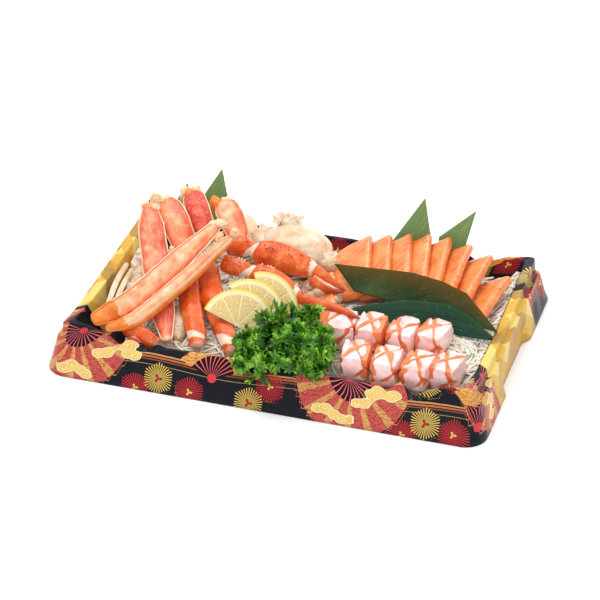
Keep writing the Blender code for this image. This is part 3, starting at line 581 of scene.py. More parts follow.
# others stand up between the heap and the right wall
for attempt in range(260):
    y, lean, up = draw.uniform(-92, 96), draw.uniform(-22, 22), draw.uniform(6, 14)
    foot = Vector((draw.uniform(160, 169), y, 21))
    head = Vector((177.5, y + lean, 22 + up))
    route = [foot.lerp(head, k / 6) + Vector((0, 0, 2.5 * math.sin(k / 6 * math.pi))) for k in range(7)]
    if any(food_tree.find_nearest(point * 0.001, 0.0012)[0] is not None for point in route):
        continue
    lay_shred(route)
finished(bm, "radish_shreds", flesh, "radish", weld=0.0001)

# The bamboo leaves
# Fresh bamboo leaves cut with scissors to points. Four stand in the radish along the back edge and
# two lie in front of the salmon, thin and satin, with fine veins that run straight along them.

# Each leaf's two long edges
LAID = (
    (((17, 41, 50), (91, 35, 58), (121, 30, 57), (146, 20, 55), (182, -14, 44)),
     ((45, 8, 46), (90, 0, 45), (121, -4, 44.5), (150, -9, 44), (181, -16, 43.5))),
    (((50, -13, 42), (61, -13, 47), (95, -2, 52.5), (131, 2, 52.5), (152, -5, 50), (180, -20, 41)),
     ((51, -16, 40), (66, -20, 38), (98, -18, 37), (128, -12, 38), (148, -17, 34), (178, -22, 38))),
)
STANDING = (
    (((-163, 99, 36), (-156, 99, 52), (-143, 97, 76)), ((-136, 99, 36), (-137, 98, 52), (-142.5, 97, 76))),
    (((-140, 97, 34), (-128, 96, 64), (-107.5, 94, 99)), ((-101, 97, 34), (-102, 96, 64), (-107, 94, 99))),
    (((50, 103, 28), (54, 103, 45), (84, 103, 96)), ((92, 103, 28), (91.5, 103, 50), (84.5, 103, 96))),
    (((96, 104, 28), (98, 104, 57), (131.5, 104, 90)), ((122, 104, 28), (124, 104, 55), (132, 104, 90))),
)


def on_line(points, t):
    """A place on straight stretches through the points, t from 0 to 1 along them."""
    at = t * (len(points) - 1)
    k = min(int(at), len(points) - 2)
    return Vector(points[k]).lerp(Vector(points[k + 1]), at - k)


def leaf_material(name, dark, middle, light, edge_tone, gloss, glint_specks):
    """Bamboo leaf, a waxy skin over fine straight veins: satin, streaked along and of another tone towards
    one long edge.
    """
    green, shader = surface(name, Roughness=gloss, Specular_IOR_Level=0.06, Subsurface_Weight=0.05)
    marks = node(green, "Attribute", attribute_name="leaf", out="Vector")
    along, across, from_edge = node(green, "SeparateXYZ", marks).node.outputs
    stretched = node(green, "CombineXYZ", node(green, "MULTIPLY", along, 0.03), across)
    streak = node(green, "TexNoise", Vector=stretched, Scale=0.9, Detail=5)
    tone = node(green, "ValToRGB", streak, stops=((0.3, dark), (0.5, middle), (0.72, light)))
    edge = node(green, "MapRange", from_edge, 0.6, 0.1, 0, 0.85)
    tone = node(green, "Mix", edge, tone, edge_tone)
    veins = node(green, "MULTIPLY", across, math.tau / 1.6)
    veins = node(green, "SINE", veins)
    shade = node(green, "MULTIPLY_ADD", veins, 0.12, 0.12)
    tone = node(green, "Mix", shade, tone, light)
    if glint_specks:
        # painted highlights: pale dots for the glints of water drops on the leaf
        dots = node(green, "TexVoronoi", Vector=node(green, "TexCoord", out="Object"), Scale=260)
        dots = node(green, "LESS_THAN", dots, 0.09)
        dots = node(green, "MULTIPLY", dots, 0.3)
        tone = node(green, "Mix", dots, tone, "B9C9B0")
    relief = node(green, "Bump", Strength=0.12, Distance=0.0002, Height=veins)
    fill(shader, Base_Color=tone, Normal=relief)
    return green


def leaf(name, upper, lower, material, ripple):
    """A leaf between its two long edges: the leaf field holds the place along and across its veins."""
    def place(u, v):
        a, b = on_line(upper, u), on_line(lower, u)
        point = a.lerp(b, v)
        lift = math.sin(v * math.pi) * math.sin(u * 5.3 + v * 2) * ripple
        return point + Vector((0, -lift * 0.5, lift))

    bm = bent_grid(40, 12, place)
    bm.verts.ensure_lookup_table()
    marks = bm.verts.layers.float_vector.new("leaf")
    start, end = Vector(upper[0]), Vector(upper[-1])
    run = (end - start).normalized()
    cross = run.cross(Vector((0, 1, 0.3))).normalized()
    for k, vert in enumerate(bm.verts):
        vert[marks] = ((vert.co - start).dot(run), (vert.co - start).dot(cross), (k // 41) / 12)
    finished(bm, name + "_blade", material, "bamboo_leaf", name, thickness=0.45)


deep = leaf_material("deep green bamboo leaf", "18270F", "223217", "364522", "4A390B", 0.55, True)
blue_green = leaf_material("dark bamboo leaf", "122C24", "1A392E", "2A4D3F", "26422F", 0.4, True)
fresh = leaf_material("fresh bamboo leaf", "4B7A45", "62915A", "86AE70", "62915A", 0.5, False)
leaf("leaf_laid_1", *LAID[0], deep, 0.7)
leaf("leaf_laid_2", *LAID[1], blue_green, 0.4)
for k, (left, right) in enumerate(STANDING):
    leaf(f"leaf_standing_{k + 1}", left, right, fresh, 0.6)

# The salmon slices
# Raw salmon cut thick across the grain, each slice leaning on the one before it. The flesh is
# moist, with thin pale lines of fat in arrow shapes, and its upper corners run out to a point.
SLICE_LENGTH, SLICE_WIDTH, SLICE_THICKNESS = 68, 42, 8.0
SLICE_LEAN, SLICE_SLOPE = math.radians(57), math.radians(11)
SLICE_FACE = 0.36  # the share of a slice's rows that lie on each of its faces; the rest go round its edge
# Each slice's upper left corner, and how far it turns to the right
SLICES = (
    ((36, 80, 61), 0), ((54, 84, 62.5), 0), ((71.5, 89, 64), 0), ((89, 92, 65), 3),
    ((107.5, 94, 64), 9), ((127, 91, 62.5), 14), ((148, 84, 59), 20), ((170, 63, 53), 25),
    ((14, 36, 44), -6),
)
# A slice's outline: the share of its length, and mm across
SLICE_OUTLINE = (
    (-0.045, 1.4), (0.04, 2.0), (0.3, 1.5), (0.62, 0.5), (0.88, -2), (1, -9), (0.99, -23.1), (0.9, -36.1),
    (0.66, -42), (0.34, -40.7), (0.1, -36.1), (-0.02, -26), (-0.04, -12.6), (-0.04, -3),
)

# raw salmon cut with a long knife: a smooth wet face that takes clear highlights, soft light inside
# the orange flesh, and thin pale lines of fat
salmon, salmon_shader = surface(
    "raw salmon", Roughness=0.32, Subsurface_Weight=0.25, Subsurface_Scale=0.003, Coat_Weight=0.5,
    Coat_Roughness=0.08, Subsurface_Radius=(1, 0.35, 0.15),
)
marks = node(salmon, "Attribute", attribute_name="grain", out="Vector")
lengthwise, sideways, depth = node(salmon, "SeparateXYZ", marks).node.outputs
place = node(salmon, "TexCoord", out="Object")
sway = node(salmon, "TexNoise", Vector=place, Scale=70, Detail=3)
arrow = node(salmon, "MULTIPLY_ADD", sideways, 0.55, lengthwise)
arrow = node(salmon, "MULTIPLY_ADD", sway, 7.0, arrow)
arrow = node(salmon, "MULTIPLY", arrow, math.tau / 7.5)
fat = node(salmon, "SINE", arrow)
tone = node(salmon, "ValToRGB", sway, stops=((0.3, "E06C28"), (0.5, "EE863C"), (0.72, "F79E58")))
lines = node(salmon, "MapRange", fat, 0.6, 1.0)
lines = node(salmon, "MULTIPLY", lines, 0.28)
tone = node(salmon, "Mix", lines, tone, "FBC9A2")
# painted shade: towards each slice's lower face, down its cut edge to where it lies on the slice before,
# the orange is mixed deeper
deep = node(salmon, "MapRange", depth, -1.5, -4.5, 0, 0.6)
tone = node(salmon, "Mix", deep, tone, "EB7A33")
wet = node(salmon, "TexNoise", Vector=place, Scale=260, Detail=3)
wet = node(salmon, "Bump", Strength=0.4, Distance=0.0007, Height=wet)
relief = node(salmon, "Bump", Strength=0.25, Distance=0.0005, Height=fat, Normal=wet)
fill(salmon_shader, Base_Color=tone, Normal=relief)


def curve_place(a, b, c, d, t):
    """A place on the smooth curve from b to c, t from 0 to 1, with a before them and d after."""
    square, cube = 2 * a - 5 * b + 4 * c - d, 3 * b - a - 3 * c + d
    return 0.5 * (2 * b + (c - a) * t + square * t * t + cube * t ** 3)


def smooth_loop(points, t):
    """A place on a closed smooth curve through the points."""
    at = (t % 1.0) * len(points)
    k = int(at)
    return curve_place(*[Vector(points[(k + j) % len(points)]) for j in (-1, 0, 1, 2)], at - k)


for number, (corner, turn) in enumerate(SLICES):
    heading = math.radians(-73 - turn)
    side = Vector((-math.sin(heading), math.cos(heading), 0))
    down = Vector((math.cos(heading), math.sin(heading), 0)) * math.cos(SLICE_SLOPE)
    down = (down - Vector((0, 0, math.sin(SLICE_SLOPE)))).normalized()
    wide = side * math.sin(SLICE_LEAN) + Vector((0, 0, math.cos(SLICE_LEAN)))
    wide = (wide - down * wide.dot(down)).normalized()
    out = wide.cross(down).normalized()
    if out.z < 0:
        out.negate()
    outline = [(a * SLICE_LENGTH, b) for a, b in SLICE_OUTLINE]
    middle = Vector((SLICE_LENGTH / 2, -SLICE_WIDTH / 2))

    def slab(u, v):
        """Rows run from the lower face's middle round the edge to the upper face's middle."""
        share = min(v, 1 - v) / SLICE_FACE
        level = ease(v, SLICE_FACE, 1 - SLICE_FACE)
        edge = 1 - 0.07 * abs(level * 2 - 1) ** 3 if share >= 1 else 0.93 * share
        a, b = middle + (smooth_loop(outline, u) - middle) * edge
        bulge = 2.2 * math.sin(a / SLICE_LENGTH * math.pi) - 1.2
        here = Vector((a, b, 0)) / 17 + Vector((number * 3.7, 0, 0))
        wave = noise.noise(here) * 0.9 + noise.noise(here * 2.6) * 0.35
        thick = (level - 1) * SLICE_THICKNESS + bulge - 0.3 + wave
        return Vector(corner) + down * a + wide * b + out * thick

    bm = bent_grid(60, 22, slab)
    grain = bm.verts.layers.float_vector.new("grain")
    for vert in bm.verts:
        offset = vert.co - Vector(corner)
        across = abs(offset.dot(wide) + SLICE_WIDTH * 0.45)
        vert[grain] = (offset.dot(down) + number * 9, across, offset.dot(out))
    finished(bm, f"salmon_slice_{number + 1}_flesh", salmon, "salmon", f"salmon_slice_{number + 1}")

# The seared salmon belly
# Thick blocks of salmon belly, scored crosswise and passed under a flame. The skin side has turned
# pale pink and dull, and between the scores the raw orange flesh shows.
BELLY_SIZE = (24, 31, 22)
# Each block's name, middle, turn and number
BELLIES = [(f"seared_back_{k + 1}", at, 8 - 6 * k, k) for k, at in enumerate(
    ((49, -43, 38), (76, -41, 39), (103.5, -39, 39), (130, -35, 39)))]
BELLIES += [(f"seared_front_{k + 1}", at, 8 - 6 * k, k + 4) for k, at in enumerate(
    ((74, -83, 36), (101, -84, 36), (128.5, -83, 36), (153, -77, 36)))]
BARE_SIDES = (0, 1, -1, -1, 1, -1, -1, -1)  # where the skin has drawn back from the flesh: left, right

# salmon belly scored and passed under a flame: the skin side dull, pale pink and finely pored, the
# raw cuts between the scores moist and orange
seared, seared_shader = surface(
    "seared salmon belly", Roughness=0.42, Subsurface_Weight=0.3, Subsurface_Scale=0.004, Coat_Weight=0.2,
    Subsurface_Radius=(1, 0.5, 0.35),
)
place = node(seared, "TexCoord", out="Object")
blush = node(seared, "TexNoise", Vector=place, Scale=95, Detail=4)
skin = node(seared, "ValToRGB", blush, stops=((0.36, "F7DCDC"), (0.56, "F5C9C7"), (0.74, "F1AB9F")))
raw = node(seared, "ValToRGB", blush, stops=((0.3, "E2713A"), (0.7, "F3925E")))
cut = node(seared, "Attribute", attribute_name="cut", out="Fac")
cut = node(seared, "MULTIPLY_ADD", blush, 0.5, cut)
cut = node(seared, "MapRange", cut, 0.55, 0.85)
tone = node(seared, "Mix", cut, skin, raw)
pores = node(seared, "TexNoise", Vector=place, Scale=900, Detail=3)
pores = node(seared, "Bump", Strength=0.25, Distance=0.0005, Height=pores)
fill(seared_shader, Base_Color=tone, Normal=pores)

noise.seed_set(1)  # or the blocks' small lumps would differ from run to run
for name, centre, turn, number in BELLIES:
    bm = bmesh.new()
    bmesh.ops.create_cube(bm, size=2)
    bmesh.ops.subdivide_edges(bm, edges=bm.edges, cuts=27, use_grid_fill=True)
    around = Matrix.Rotation(math.radians(turn), 3, "Z")
    depth = bm.verts.layers.float.new("cut")
    half = Vector(BELLY_SIZE) / 2 * 1.06
    shift = draw.uniform(-3, 3)
    for vert in bm.verts:
        flat = vert.co.copy()
        point = flat.lerp(flat.normalized() * 1.25, 0.34)
        face = Vector((point.x * half.x, point.y * half.y, point.z * half.z))
        # scores run over the top and down the front, in two directions; each is a raw slope that
        # rises from its bottom to the skin, and ends at the next one's sharp edge
        run = face.y if face.z > half.z * 0.6 else face.y + (face.z - half.z * 0.6) * 0.9
        top_side = ease(point.z - point.y * 0.35, -0.45, 0.1)
        inward, scored = face.normalized(), 0
        for slope, apart, way in ((0.5, 25, 1), (0.8, 28, -1)):
            off = (run * slope + face.x * way + shift + number * 4.3 % 9 - 4) % apart
            breadth = max(1.6, 4.2 + 4.6 * noise.noise(face / 12 + Vector((number * 7, way, 0))))
            rise = min(off / breadth, 1)
            sink = (1 - rise) * ease(off, 0, 0.5) * top_side
            scored = max(scored, sink, ease(breadth - off, -0.6, 0.2) * top_side * 0.9)
            face -= inward * sink * 3.0
        ragged = 0.45 * noise.noise(face / 8 + Vector((number * 3, 0, 5)))
        bare = ease(point.x * BARE_SIDES[number] + ragged, 0.5, 0.62)
        face -= inward * bare * 1.2
        face += noise.noise_vector(face / 6 + Vector((number * 5, 0, 0))) * 0.4
        vert[depth] = max(scored * 0.95, bare * 0.9)
        vert.co = around @ face + Vector(centre)
    finished(bm, name + "_block", seared, "seared_salmon", name)

# The crab legs
# Boiled snow crab legs cut open along one side, so that the pink meat stands between two cream
# edges of shell. Four lean on the left wall with their knuckles up, and two lie across them.

# Each leg: its route, half widths, how far it rolls, how pale its meat is, where its shell closes, and
# how far one side of the shell still reaches over the meat
OPEN_LEGS = (
    ("leg_upright_1", ((-157, 34, 84), (-147, 11, 72), (-132, -19, 54), (-112, -60, 37), (-97, -92, 27)),
     (11.5, 13, 8.5), 0, 0.1, 2, 0),
    ("leg_upright_2", ((-146, 46, 86), (-130, 28, 76), (-108, 4, 52)), (11, 13.5, 11), 0, 0.15, 2, 0),
    ("leg_upright_3", ((-129, 71, 84), (-118, 54, 77), (-99, 32, 56)), (10, 11.5, 10), 0, -0.15, 2, 0),
    ("leg_upright_4", ((-100, 71, 79), (-87, 59, 70), (-71, 43, 50)), (10, 12.5, 9), 0, 0.3, 2, 0),
    ("leg_crossing_1", ((-86, 19, 86), (-113, -30, 66), (-134, -66, 51), (-146, -84, 47), (-161, -108, 47)),
     (10, 11, 9.5), 0, 0.3, 0.76, 0.25),
    ("leg_crossing_2", ((-70, 12, 80), (-98, -38, 60), (-122, -80, 45), (-132, -96, 43), (-146, -114, 45)),
     (8, 8, 5.5), 30, 0.26, 0.78, 0.8),
)
# The lumps of the joint left at each leg's upper end: offset, size, and the share that is pale and torn
KNUCKLES = {
    "leg_upright_1": (((-1, -1, -1), (6.5, 4.5, 5), 0.55), ((6, -1, -1), (4, 4, 5.5), 0.95)),
    "leg_upright_2": (((-9, -1, -2), (5.5, 4.5, 7.5), 0.8), ((0, 0, 1), (7, 5, 4), 0.9),
                      ((20, -41, -31), (3.5, 7, 8), 0.95)),
    "leg_upright_3": (((-6, -3, -2), (4.5, 4.5, 8), 0.9), ((-3, -3, 0), (5, 5, 4.5), 0.5),
                      ((4, 1, 1), (5, 4, 5.5), 0.97)),
    "leg_upright_4": (((-5.5, -3, -3), (5, 4.5, 8.5), 0.42), ((5, 0, 0), (6, 4, 4.5), 0.97)),
    "leg_crossing_1": (((2, 0, 1), (7, 4, 4), 0.8), ((-4, -2, 1), (4, 4, 3), 0.95),
                       ((4, -8, -8), (2.6, 8, 4.5), 0.88)),
    "leg_crossing_2": (((1.5, 1, 3), (3.2, 3, 6), 0.9),),
}
LOOK = Vector((0.25, -0.80, 0.55)).normalized()  # the side that the limbs and lemons turn to
# Shares of the way round an opened leg: where its shell and its meat end, and a cut edge's own share
SHELL_END, MEAT_START, MEAT_END, CUT_EDGE = 0.4, 0.46, 0.94, 0.06


def route_point(points, t):
    """A place on a smooth open curve through the points."""
    points = [Vector(p) for p in points]
    ends = [points[0] * 2 - points[1], *points, points[-1] * 2 - points[-2]]
    at = min(max(t, 0), 1) * (len(points) - 1)
    k = min(int(at), len(points) - 2)
    return curve_place(*ends[k : k + 4], at - k)


def limb_frame(points, t, roll=0):
    """Centre, sideways and upwards of a limb, turned to face the front."""
    centre = route_point(points, t)
    ahead = (route_point(points, t + 0.02) - route_point(points, t - 0.02)).normalized()
    side = ahead.cross(Matrix.Rotation(math.radians(roll), 3, ahead) @ LOOK).normalized()
    return centre, side, side.cross(ahead).normalized()


def width_along(widths, t):
    """The half width at t between the widths given at even steps."""
    at = min(max(t, 0), 1) * (len(widths) - 1)
    k = min(int(at), len(widths) - 2)
    return widths[k] + (widths[k + 1] - widths[k]) * ease(at - k, 0, 1)


def rounded_end(t, length):
    """Narrows a limb to a rounded end: its share of the width near t = 0 and t = 1."""
    near = min(t, 1 - t) / length
    return math.sqrt(max(0, 1 - (1 - near) ** 2)) if near < 1 else 1


def tube(bm, columns, rows, shape):
    """Adds a closed grid to bm: shape(u, v) gives each point and its three marks, kept as "limb"."""
    made = bmesh.ops.create_grid(bm, x_segments=columns, y_segments=rows, size=0.5, calc_uvs=True)
    limb = bm.verts.layers.float_vector["limb"]
    for vert in made["verts"]:
        vert.co, vert[limb] = shape(vert.co.x + 0.5, vert.co.y + 0.5)


# boiled snow crab meat in its shell, cut open with scissors: moist fibres, red on the outside and
# pale inside, between dull cream edges and an orange shell. The marks of an opened leg are -1 shell,
# 0 cut edge or 1 meat, its redness, and the distance along it
meat, meat_shader = surface(
    "boiled crab meat in its shell", Roughness=0.38, Subsurface_Weight=0.2, Subsurface_Scale=0.003,
    Specular_IOR_Level=0.3, Coat_Weight=0.25, Coat_Roughness=0.06, Subsurface_Radius=(1, 0.4, 0.25),
)
marks = node(meat, "Attribute", attribute_name="limb", out="Vector")
kind, redness, _ = node(meat, "SeparateXYZ", marks).node.outputs
place = node(meat, "TexCoord", out="Object")
blotch = node(meat, "TexNoise", Vector=place, Scale=95, Detail=5, Roughness=0.6)
mottle = node(meat, "MULTIPLY_ADD", blotch, 0.85, redness)
red = node(
    meat, "ValToRGB", mottle,
    stops=((0.2, "F9D0B0"), (0.36, "FAAE82"), (0.52, "F6885A"), (0.72, "EC613E"), (0.9, "CB3D28")),
)
grain = node(meat, "TexCoord", out="UV")
grain = node(meat, "VectorMath", grain, (60, 20, 1), operation="MULTIPLY")
grain = node(meat, "TexNoise", Vector=grain, Scale=1, Detail=4, Roughness=0.6)
pale_grain = node(meat, "MapRange", grain, 0.52, 0.78, 0, 0.6)
red = node(meat, "Mix", pale_grain, red, "FBE0D0")
# pale specks: partly the meat's own white flecks, partly painted glints on its wet fibres
glint_specks = node(meat, "TexVoronoi", Vector=place, Scale=330)
glint_specks = node(meat, "MapRange", glint_specks, 0.3, 0.12, 0, 0.9)
glint_specks = node(meat, "MULTIPLY", glint_specks, pale_grain)
red = node(meat, "Mix", glint_specks, red, "FDE6DA")
rim = node(meat, "ValToRGB", blotch, stops=((0.3, "E8AF7E"), (0.55, "F0CFA8"), (0.75, "F6E4CE")))
outside = node(meat, "ValToRGB", blotch, stops=((0.3, "D5671F"), (0.55, "EC8838"), (0.75, "F5AA62")))
outer_share = node(meat, "MapRange", kind, -0.12, -0.4)
rim = node(meat, "Mix", outer_share, rim, outside)
meat_share = node(meat, "MapRange", kind, 0.35, 0.7)
tone = node(meat, "Mix", meat_share, rim, red)
fibres = node(meat, "Bump", Strength=0.5, Distance=0.0009, Height=grain)
fill(meat_shader, Base_Color=tone, Normal=fibres)

for number, (name, route, widths, roll, pale, closed, wrap) in enumerate(OPEN_LEGS):
    length = sum((Vector(b) - Vector(a)).length for a, b in zip(route, route[1:]))

    def open_leg(u, v):
        """Round the leg u runs over the shell, its left cut edge, the meat and the right cut edge."""
        start, middle, end = widths
        w = middle + (start - middle) * max(0, 1 - 2 * v) + (end - middle) * max(0, 2 * v - 1)
        w *= 0.6 + 0.4 * min(1, 5 * v, 5 * (1 - v))
        centre, side, up = limb_frame(route, v, roll)
        rough = noise.noise(Vector((v * length / 9, u * 7, number * 4.1)))
        edge = closed + 0.03 * noise.noise(Vector((u * 9, number, 3))) + 0.02 * math.cos(math.pi * u)
        shut = ease(v, edge, edge + 0.02)
        # the cut edges stand at left and right, the left one the higher where the shell reaches over
        left, right, lift = -w * math.cos(wrap), w, 0.75 * w * math.sin(wrap)
        if u <= SHELL_END:
            angle = -(math.pi + wrap) * u / SHELL_END
            a, b = w * math.cos(angle), 0.75 * w * math.sin(angle)
            kind = max(-1, -math.sin(math.pi * u / SHELL_END) * 2.2)
        elif u < MEAT_START or u > MEAT_END:
            # a cut edge of the shell: up, over and down again to the meat
            across = (u - SHELL_END if u < MEAT_START else 1 - u) / CUT_EDGE
            narrower = 1.5 * ease(across, 0.15, 0.9)
            a = left + narrower if u < MEAT_START else right - narrower
            b, kind = 2.3 * math.sin(math.pi * min(1, across * 1.1)) + 0.6 * across, 0
            b += lift * (1 - ease(across, 0.3, 1)) if u < MEAT_START else 0
        else:
            angle = math.pi * (MEAT_END - u) / (MEAT_END - MEAT_START)
            a = (left + right) / 2 + ((right - left) / 2 - 1.5) * -math.cos(math.pi - angle)
            b, kind = 0.6 + math.sin(angle) ** 0.8 * (w * 0.42 + rough * 1.1), 1
        streak = noise.noise(Vector((v * length / 30, u * 30, number * 2.3)))
        redness = 0.22 - pale + 0.4 * (abs(a) / w) ** 3 + 0.12 * rough
        redness += 0.14 * ease(-a / w, -0.2, 0.8)
        redness += 0.10 * streak
        if name == "leg_upright_1":
            redness += 0.1 * ease(v, 0.6, 0.75) - 0.5 * ease(v, 0.93, 1)
        kind = kind * (1 - shut) - shut
        neck = 1 - 0.08 * math.exp(-((v - closed) / 0.02) ** 2)
        swell = rounded_end(v, 0.035) * (1 + 0.03 * rough) * neck
        return centre + (side * a + up * b * (1 - 0.2 * shut)) * swell, (kind, redness, v * length)

    bm = marked_mesh("limb")
    tube(bm, 72, 96, open_leg)
    for offset, size, pale_share in KNUCKLES[name]:
        for vert in bmesh.ops.create_icosphere(bm, subdivisions=4, radius=1)["verts"]:
            ragged = 1.0 + 0.2 * noise.noise(vert.co * 1.6 + Vector(offset))
            ragged += 0.3 * pale_share * noise.noise(vert.co * 4 + Vector(offset))
            point = Vector([vert.co[k] * ragged * size[k] for k in range(3)])
            vert.co = Vector(route[0]) + Vector(offset) + point
            vert[bm.verts.layers.float_vector["limb"]] = (-0.7 * (1 - pale_share), 0, 0)
    finished(bm, name + "_half", meat, "crab_meat", name, weld=0.0005)

# The crab claws, the closed legs and the loose bits of shell
# Boiled crab shell, thin, hard and wet: orange red with pale warts, cream where one joint meets
# the next, fine pale spines on the claws' upper edges, and pairs of curved dark orange fingers.

# Each limb: its route, half widths, and its joints as (place, half length, slant)
CLOSED = (
    ("leg_lower_1", ((-104, -8, 46), (-92, -42, 40), (-78, -70, 33), (-68, -93, 28)), (8, 10, 10, 9, 9, 6),
     ((0.85, 0.045, -0.05),)),
    ("leg_lower_2", ((-90, 4, 50), (-76, -30, 44), (-54, -64, 35), (-37, -92, 27)), (8, 10, 11, 10, 9, 5),
     ((0.87, 0.05, -0.05),)),
    ("claw_1", ((-84, 34, 56), (-66, 33, 58), (-48, 29, 57), (-28, 28, 56), (-4, 24, 53), (14, 19, 49),
                (37, 12, 42)), (8, 9.5, 10, 7, 12.5, 13.5, 13, 12, 10, 6.5, 5, 3, 1),
     ((0.26, 0.03, -0.03), (0.72, 0.02, 0.012))),
    ("claw_2", ((-78, 2, 58), (-60, 0, 56), (-43, -2, 54), (-24, -8, 52), (-4, -17, 49), (14, -24, 49),
                (42, -33, 52), (66, -43, 52)), (7, 8.5, 8, 6.5, 10.5, 11.5, 11.5, 10, 7, 5, 4.5, 4, 3, 1),
     ((0.23, 0.03, -0.03), (0.6, 0.018, 0.012))),
    ("crab_shell_front", ((-140, -90, 37), (-122, -96, 33), (-104, -98, 27)), (5, 8, 8, 6), ()),
)
# The claws' lower fingers: route and half widths
FINGERS = {
    "claw_1": (((3, 18, 46), (13, 14, 43), (24, 11.5, 41.5), (35, 11, 41.5)), (7, 5.5, 4.5, 3, 1.2)),
    "claw_2": (((-3, -21, 44), (4, -26, 40), (11, -29, 40), (19, -29, 43)), (7, 6, 4.5, 3, 1)),
}

# boiled crab shell: hard, thin and wet, with a waxy gloss on orange red, pale warts that catch the
# light, and cream at its joints. The marks of a closed limb are its paleness, its darkness and the
# distance along it
shell, shell_shader = surface(
    "boiled crab shell", Roughness=0.34, Specular_IOR_Level=0.25, Coat_Weight=0.25, Coat_Roughness=0.06,
)
marks = node(shell, "Attribute", attribute_name="limb", out="Vector")
paleness, darkness, _ = node(shell, "SeparateXYZ", marks).node.outputs
place = node(shell, "TexCoord", out="Object")
cloudy = node(shell, "TexNoise", Vector=place, Scale=75, Detail=5, Roughness=0.6)
red = node(shell, "ValToRGB", cloudy, stops=((0.3, "C03E0F"), (0.5, "DA5A1F"), (0.72, "EA8646")))
red = node(shell, "Mix", darkness, red, "93360F")
pale = node(shell, "ValToRGB", cloudy, stops=((0.3, "E8BC98"), (0.6, "F2DCCB")))
tone = node(shell, "Mix", paleness, red, pale)
warts = node(shell, "TexVoronoi", Vector=place, Scale=330)
dots = node(shell, "MapRange", warts, 0.22, 0.1, 0, 0.6)
dots = node(shell, "MULTIPLY", dots, cloudy)
tone = node(shell, "Mix", dots, tone, "FBD8B4")
warts = node(shell, "Bump", Strength=0.5, Distance=0.0007, Height=warts, invert=True)
fill(shell_shader, Base_Color=tone, Normal=warts)

spike = bmesh.new()
bmesh.ops.create_uvsphere(spike, u_segments=10, v_segments=7, radius=1)
bmesh.ops.scale(spike, vec=(0.95, 0.95, 1.5), verts=spike.verts)
spike_mesh = small_mesh(spike, "spike")

for number, (name, route, widths, joints) in enumerate(CLOSED):
    claw = name in FINGERS

    def closed_limb(u, v):
        """Round the limb u, along it v: pinched and pale at its joints, dark at a claw's tip."""
        w = width_along(widths, v)
        centre, side, up = limb_frame(route, v)
        a, b = math.cos(u * math.tau), math.sin(u * math.tau)
        paleness, pinch = 0, 0
        for joint, half, slant in joints:
            half = half * (1 - math.copysign(0.45, slant) * a)
            off = abs(v - joint - slant * a)
            paleness = max(paleness, 1 - ease(off, half * 0.85, half * 1.1))
            pinch = max(pinch, 0.1 * (1 - ease(off, half * 0.7, half * 1.3)))
        if claw:
            darkness = ease(v, 0.86, 1.0) * 0.8
            paleness = max(paleness, 0.6 * ease(-b, 0.2, 0.9))
        else:
            darkness = 0
            paleness = max(paleness, ease(v, 0.95, 1.0) * 0.6, 0.5 * ease(-b, 0.3, 0.9))
        ridge = 1 + (0.02 if claw else 0.045) * math.cos(u * math.tau * 5)
        swell = w * rounded_end(v, 0.03) * (1 - pinch) * ridge
        swell *= 1 + 0.05 * noise.noise(Vector((v * 9, u * 4, number)))
        return centre + side * swell * a + up * swell * 0.7 * b, (paleness, darkness, v * 100)

    bm = marked_mesh("limb")
    tube(bm, 40, 120, closed_limb)
    if claw:
        lower_route, lower_widths = FINGERS[name]

        def lower_finger(u, v):
            """A curved finger, pale on its biting side."""
            w = width_along(lower_widths, v) * rounded_end(v, 0.08)
            centre, side, up = limb_frame(lower_route, v)
            a, b = math.cos(u * math.tau), math.sin(u * math.tau)
            inner = ease(-a, 0.35, 0.75) * (1 - ease(v, 0.6, 0.9))
            return centre + side * w * a + up * w * 0.8 * b, (inner, ease(v, 0.2, 0.9) * 0.8, v * 100)

        tube(bm, 24, 40, lower_finger)
        # small spines on the wrist and the palm, pale along the upper edge and dark on the side
        for k in range(60):
            v = draw.uniform(0.05, 0.7)
            if any(abs(v - joint) < half * 1.3 for joint, half, slant in joints):
                continue
            turn = math.radians(draw.uniform(105, 150) if k % 3 else draw.uniform(150, 185))
            centre, side, up = limb_frame(route, v)
            w = width_along(widths, v)
            out = (side * math.cos(turn) + up * 1.4 * math.sin(turn)).normalized()
            foot = centre + side * w * math.cos(turn) + up * w * 0.7 * math.sin(turn)
            stand = out.to_track_quat("Z", "Y").to_matrix() * draw.uniform(0.5, 0.95)
            for vert in copied_in(spike_mesh):
                mark = (0.1, 0.4, 0) if k % 3 else (1.0 if vert.co.z > 0 else 0.5, 0, 0)
                vert.co = foot + stand @ vert.co
                vert[bm.verts.layers.float_vector["limb"]] = mark
    finished(bm, name + "_shell", shell, "crab_shell", name, weld=0.0005)

# The crab's body pieces
# Cream coloured quarters of the crab's body, pulled apart where the legs were joined, so that
# ridges and folds of thin skin stand over the white meat. Thin strips of shell lie beside them.

# Each piece's lumps: middle, half sizes, turn
BODY = (
    ("crab_body_back", (((-26, 66, 43), (37, 25, 21), -12), ((-57, 66, 43), (16, 13, 13), 0),
                        ((-42, 92, 50), (11, 9, 10), 0), ((6, 55, 40), (13, 10, 9), 0))),
    ("crab_body_left", (((-149, -6, 30), (13, 38, 14), 6),)),
    ("crab_body_front", (((12, 22, 31), (22, 14, 8), -20), ((2, 18, 38), (6, 5, 4), 10),
                         ((12, 13, 37), (7, 5, 5), 30), ((22, 16, 37), (6, 4, 4), -30),
                         ((27, 8, 34), (5, 4, 4), 0), ((5, 8, 34), (6, 4, 4), 50),
                         ((18, 24, 39), (6, 5, 3), 0))),
    ("crab_body_middle", (((-98, -54, 24), (10, 26, 11), 12),)),
)
# Each strip's route and half widths
STRIPS = (
    ("crab_shell_back", ((-84, 88, 57), (-76, 76, 52), (-66, 62, 44)), (4, 8, 8, 6)),
    ("crab_strand_1", ((-165, -6, 46), (-165, -36, 43), (-162, -68, 37)), (2, 2.6, 2.6, 2)),
    ("crab_strand_2", ((-158, -12, 45), (-158, -42, 41), (-156, -70, 34)), (2, 2.4, 2.4, 1.8)),
)
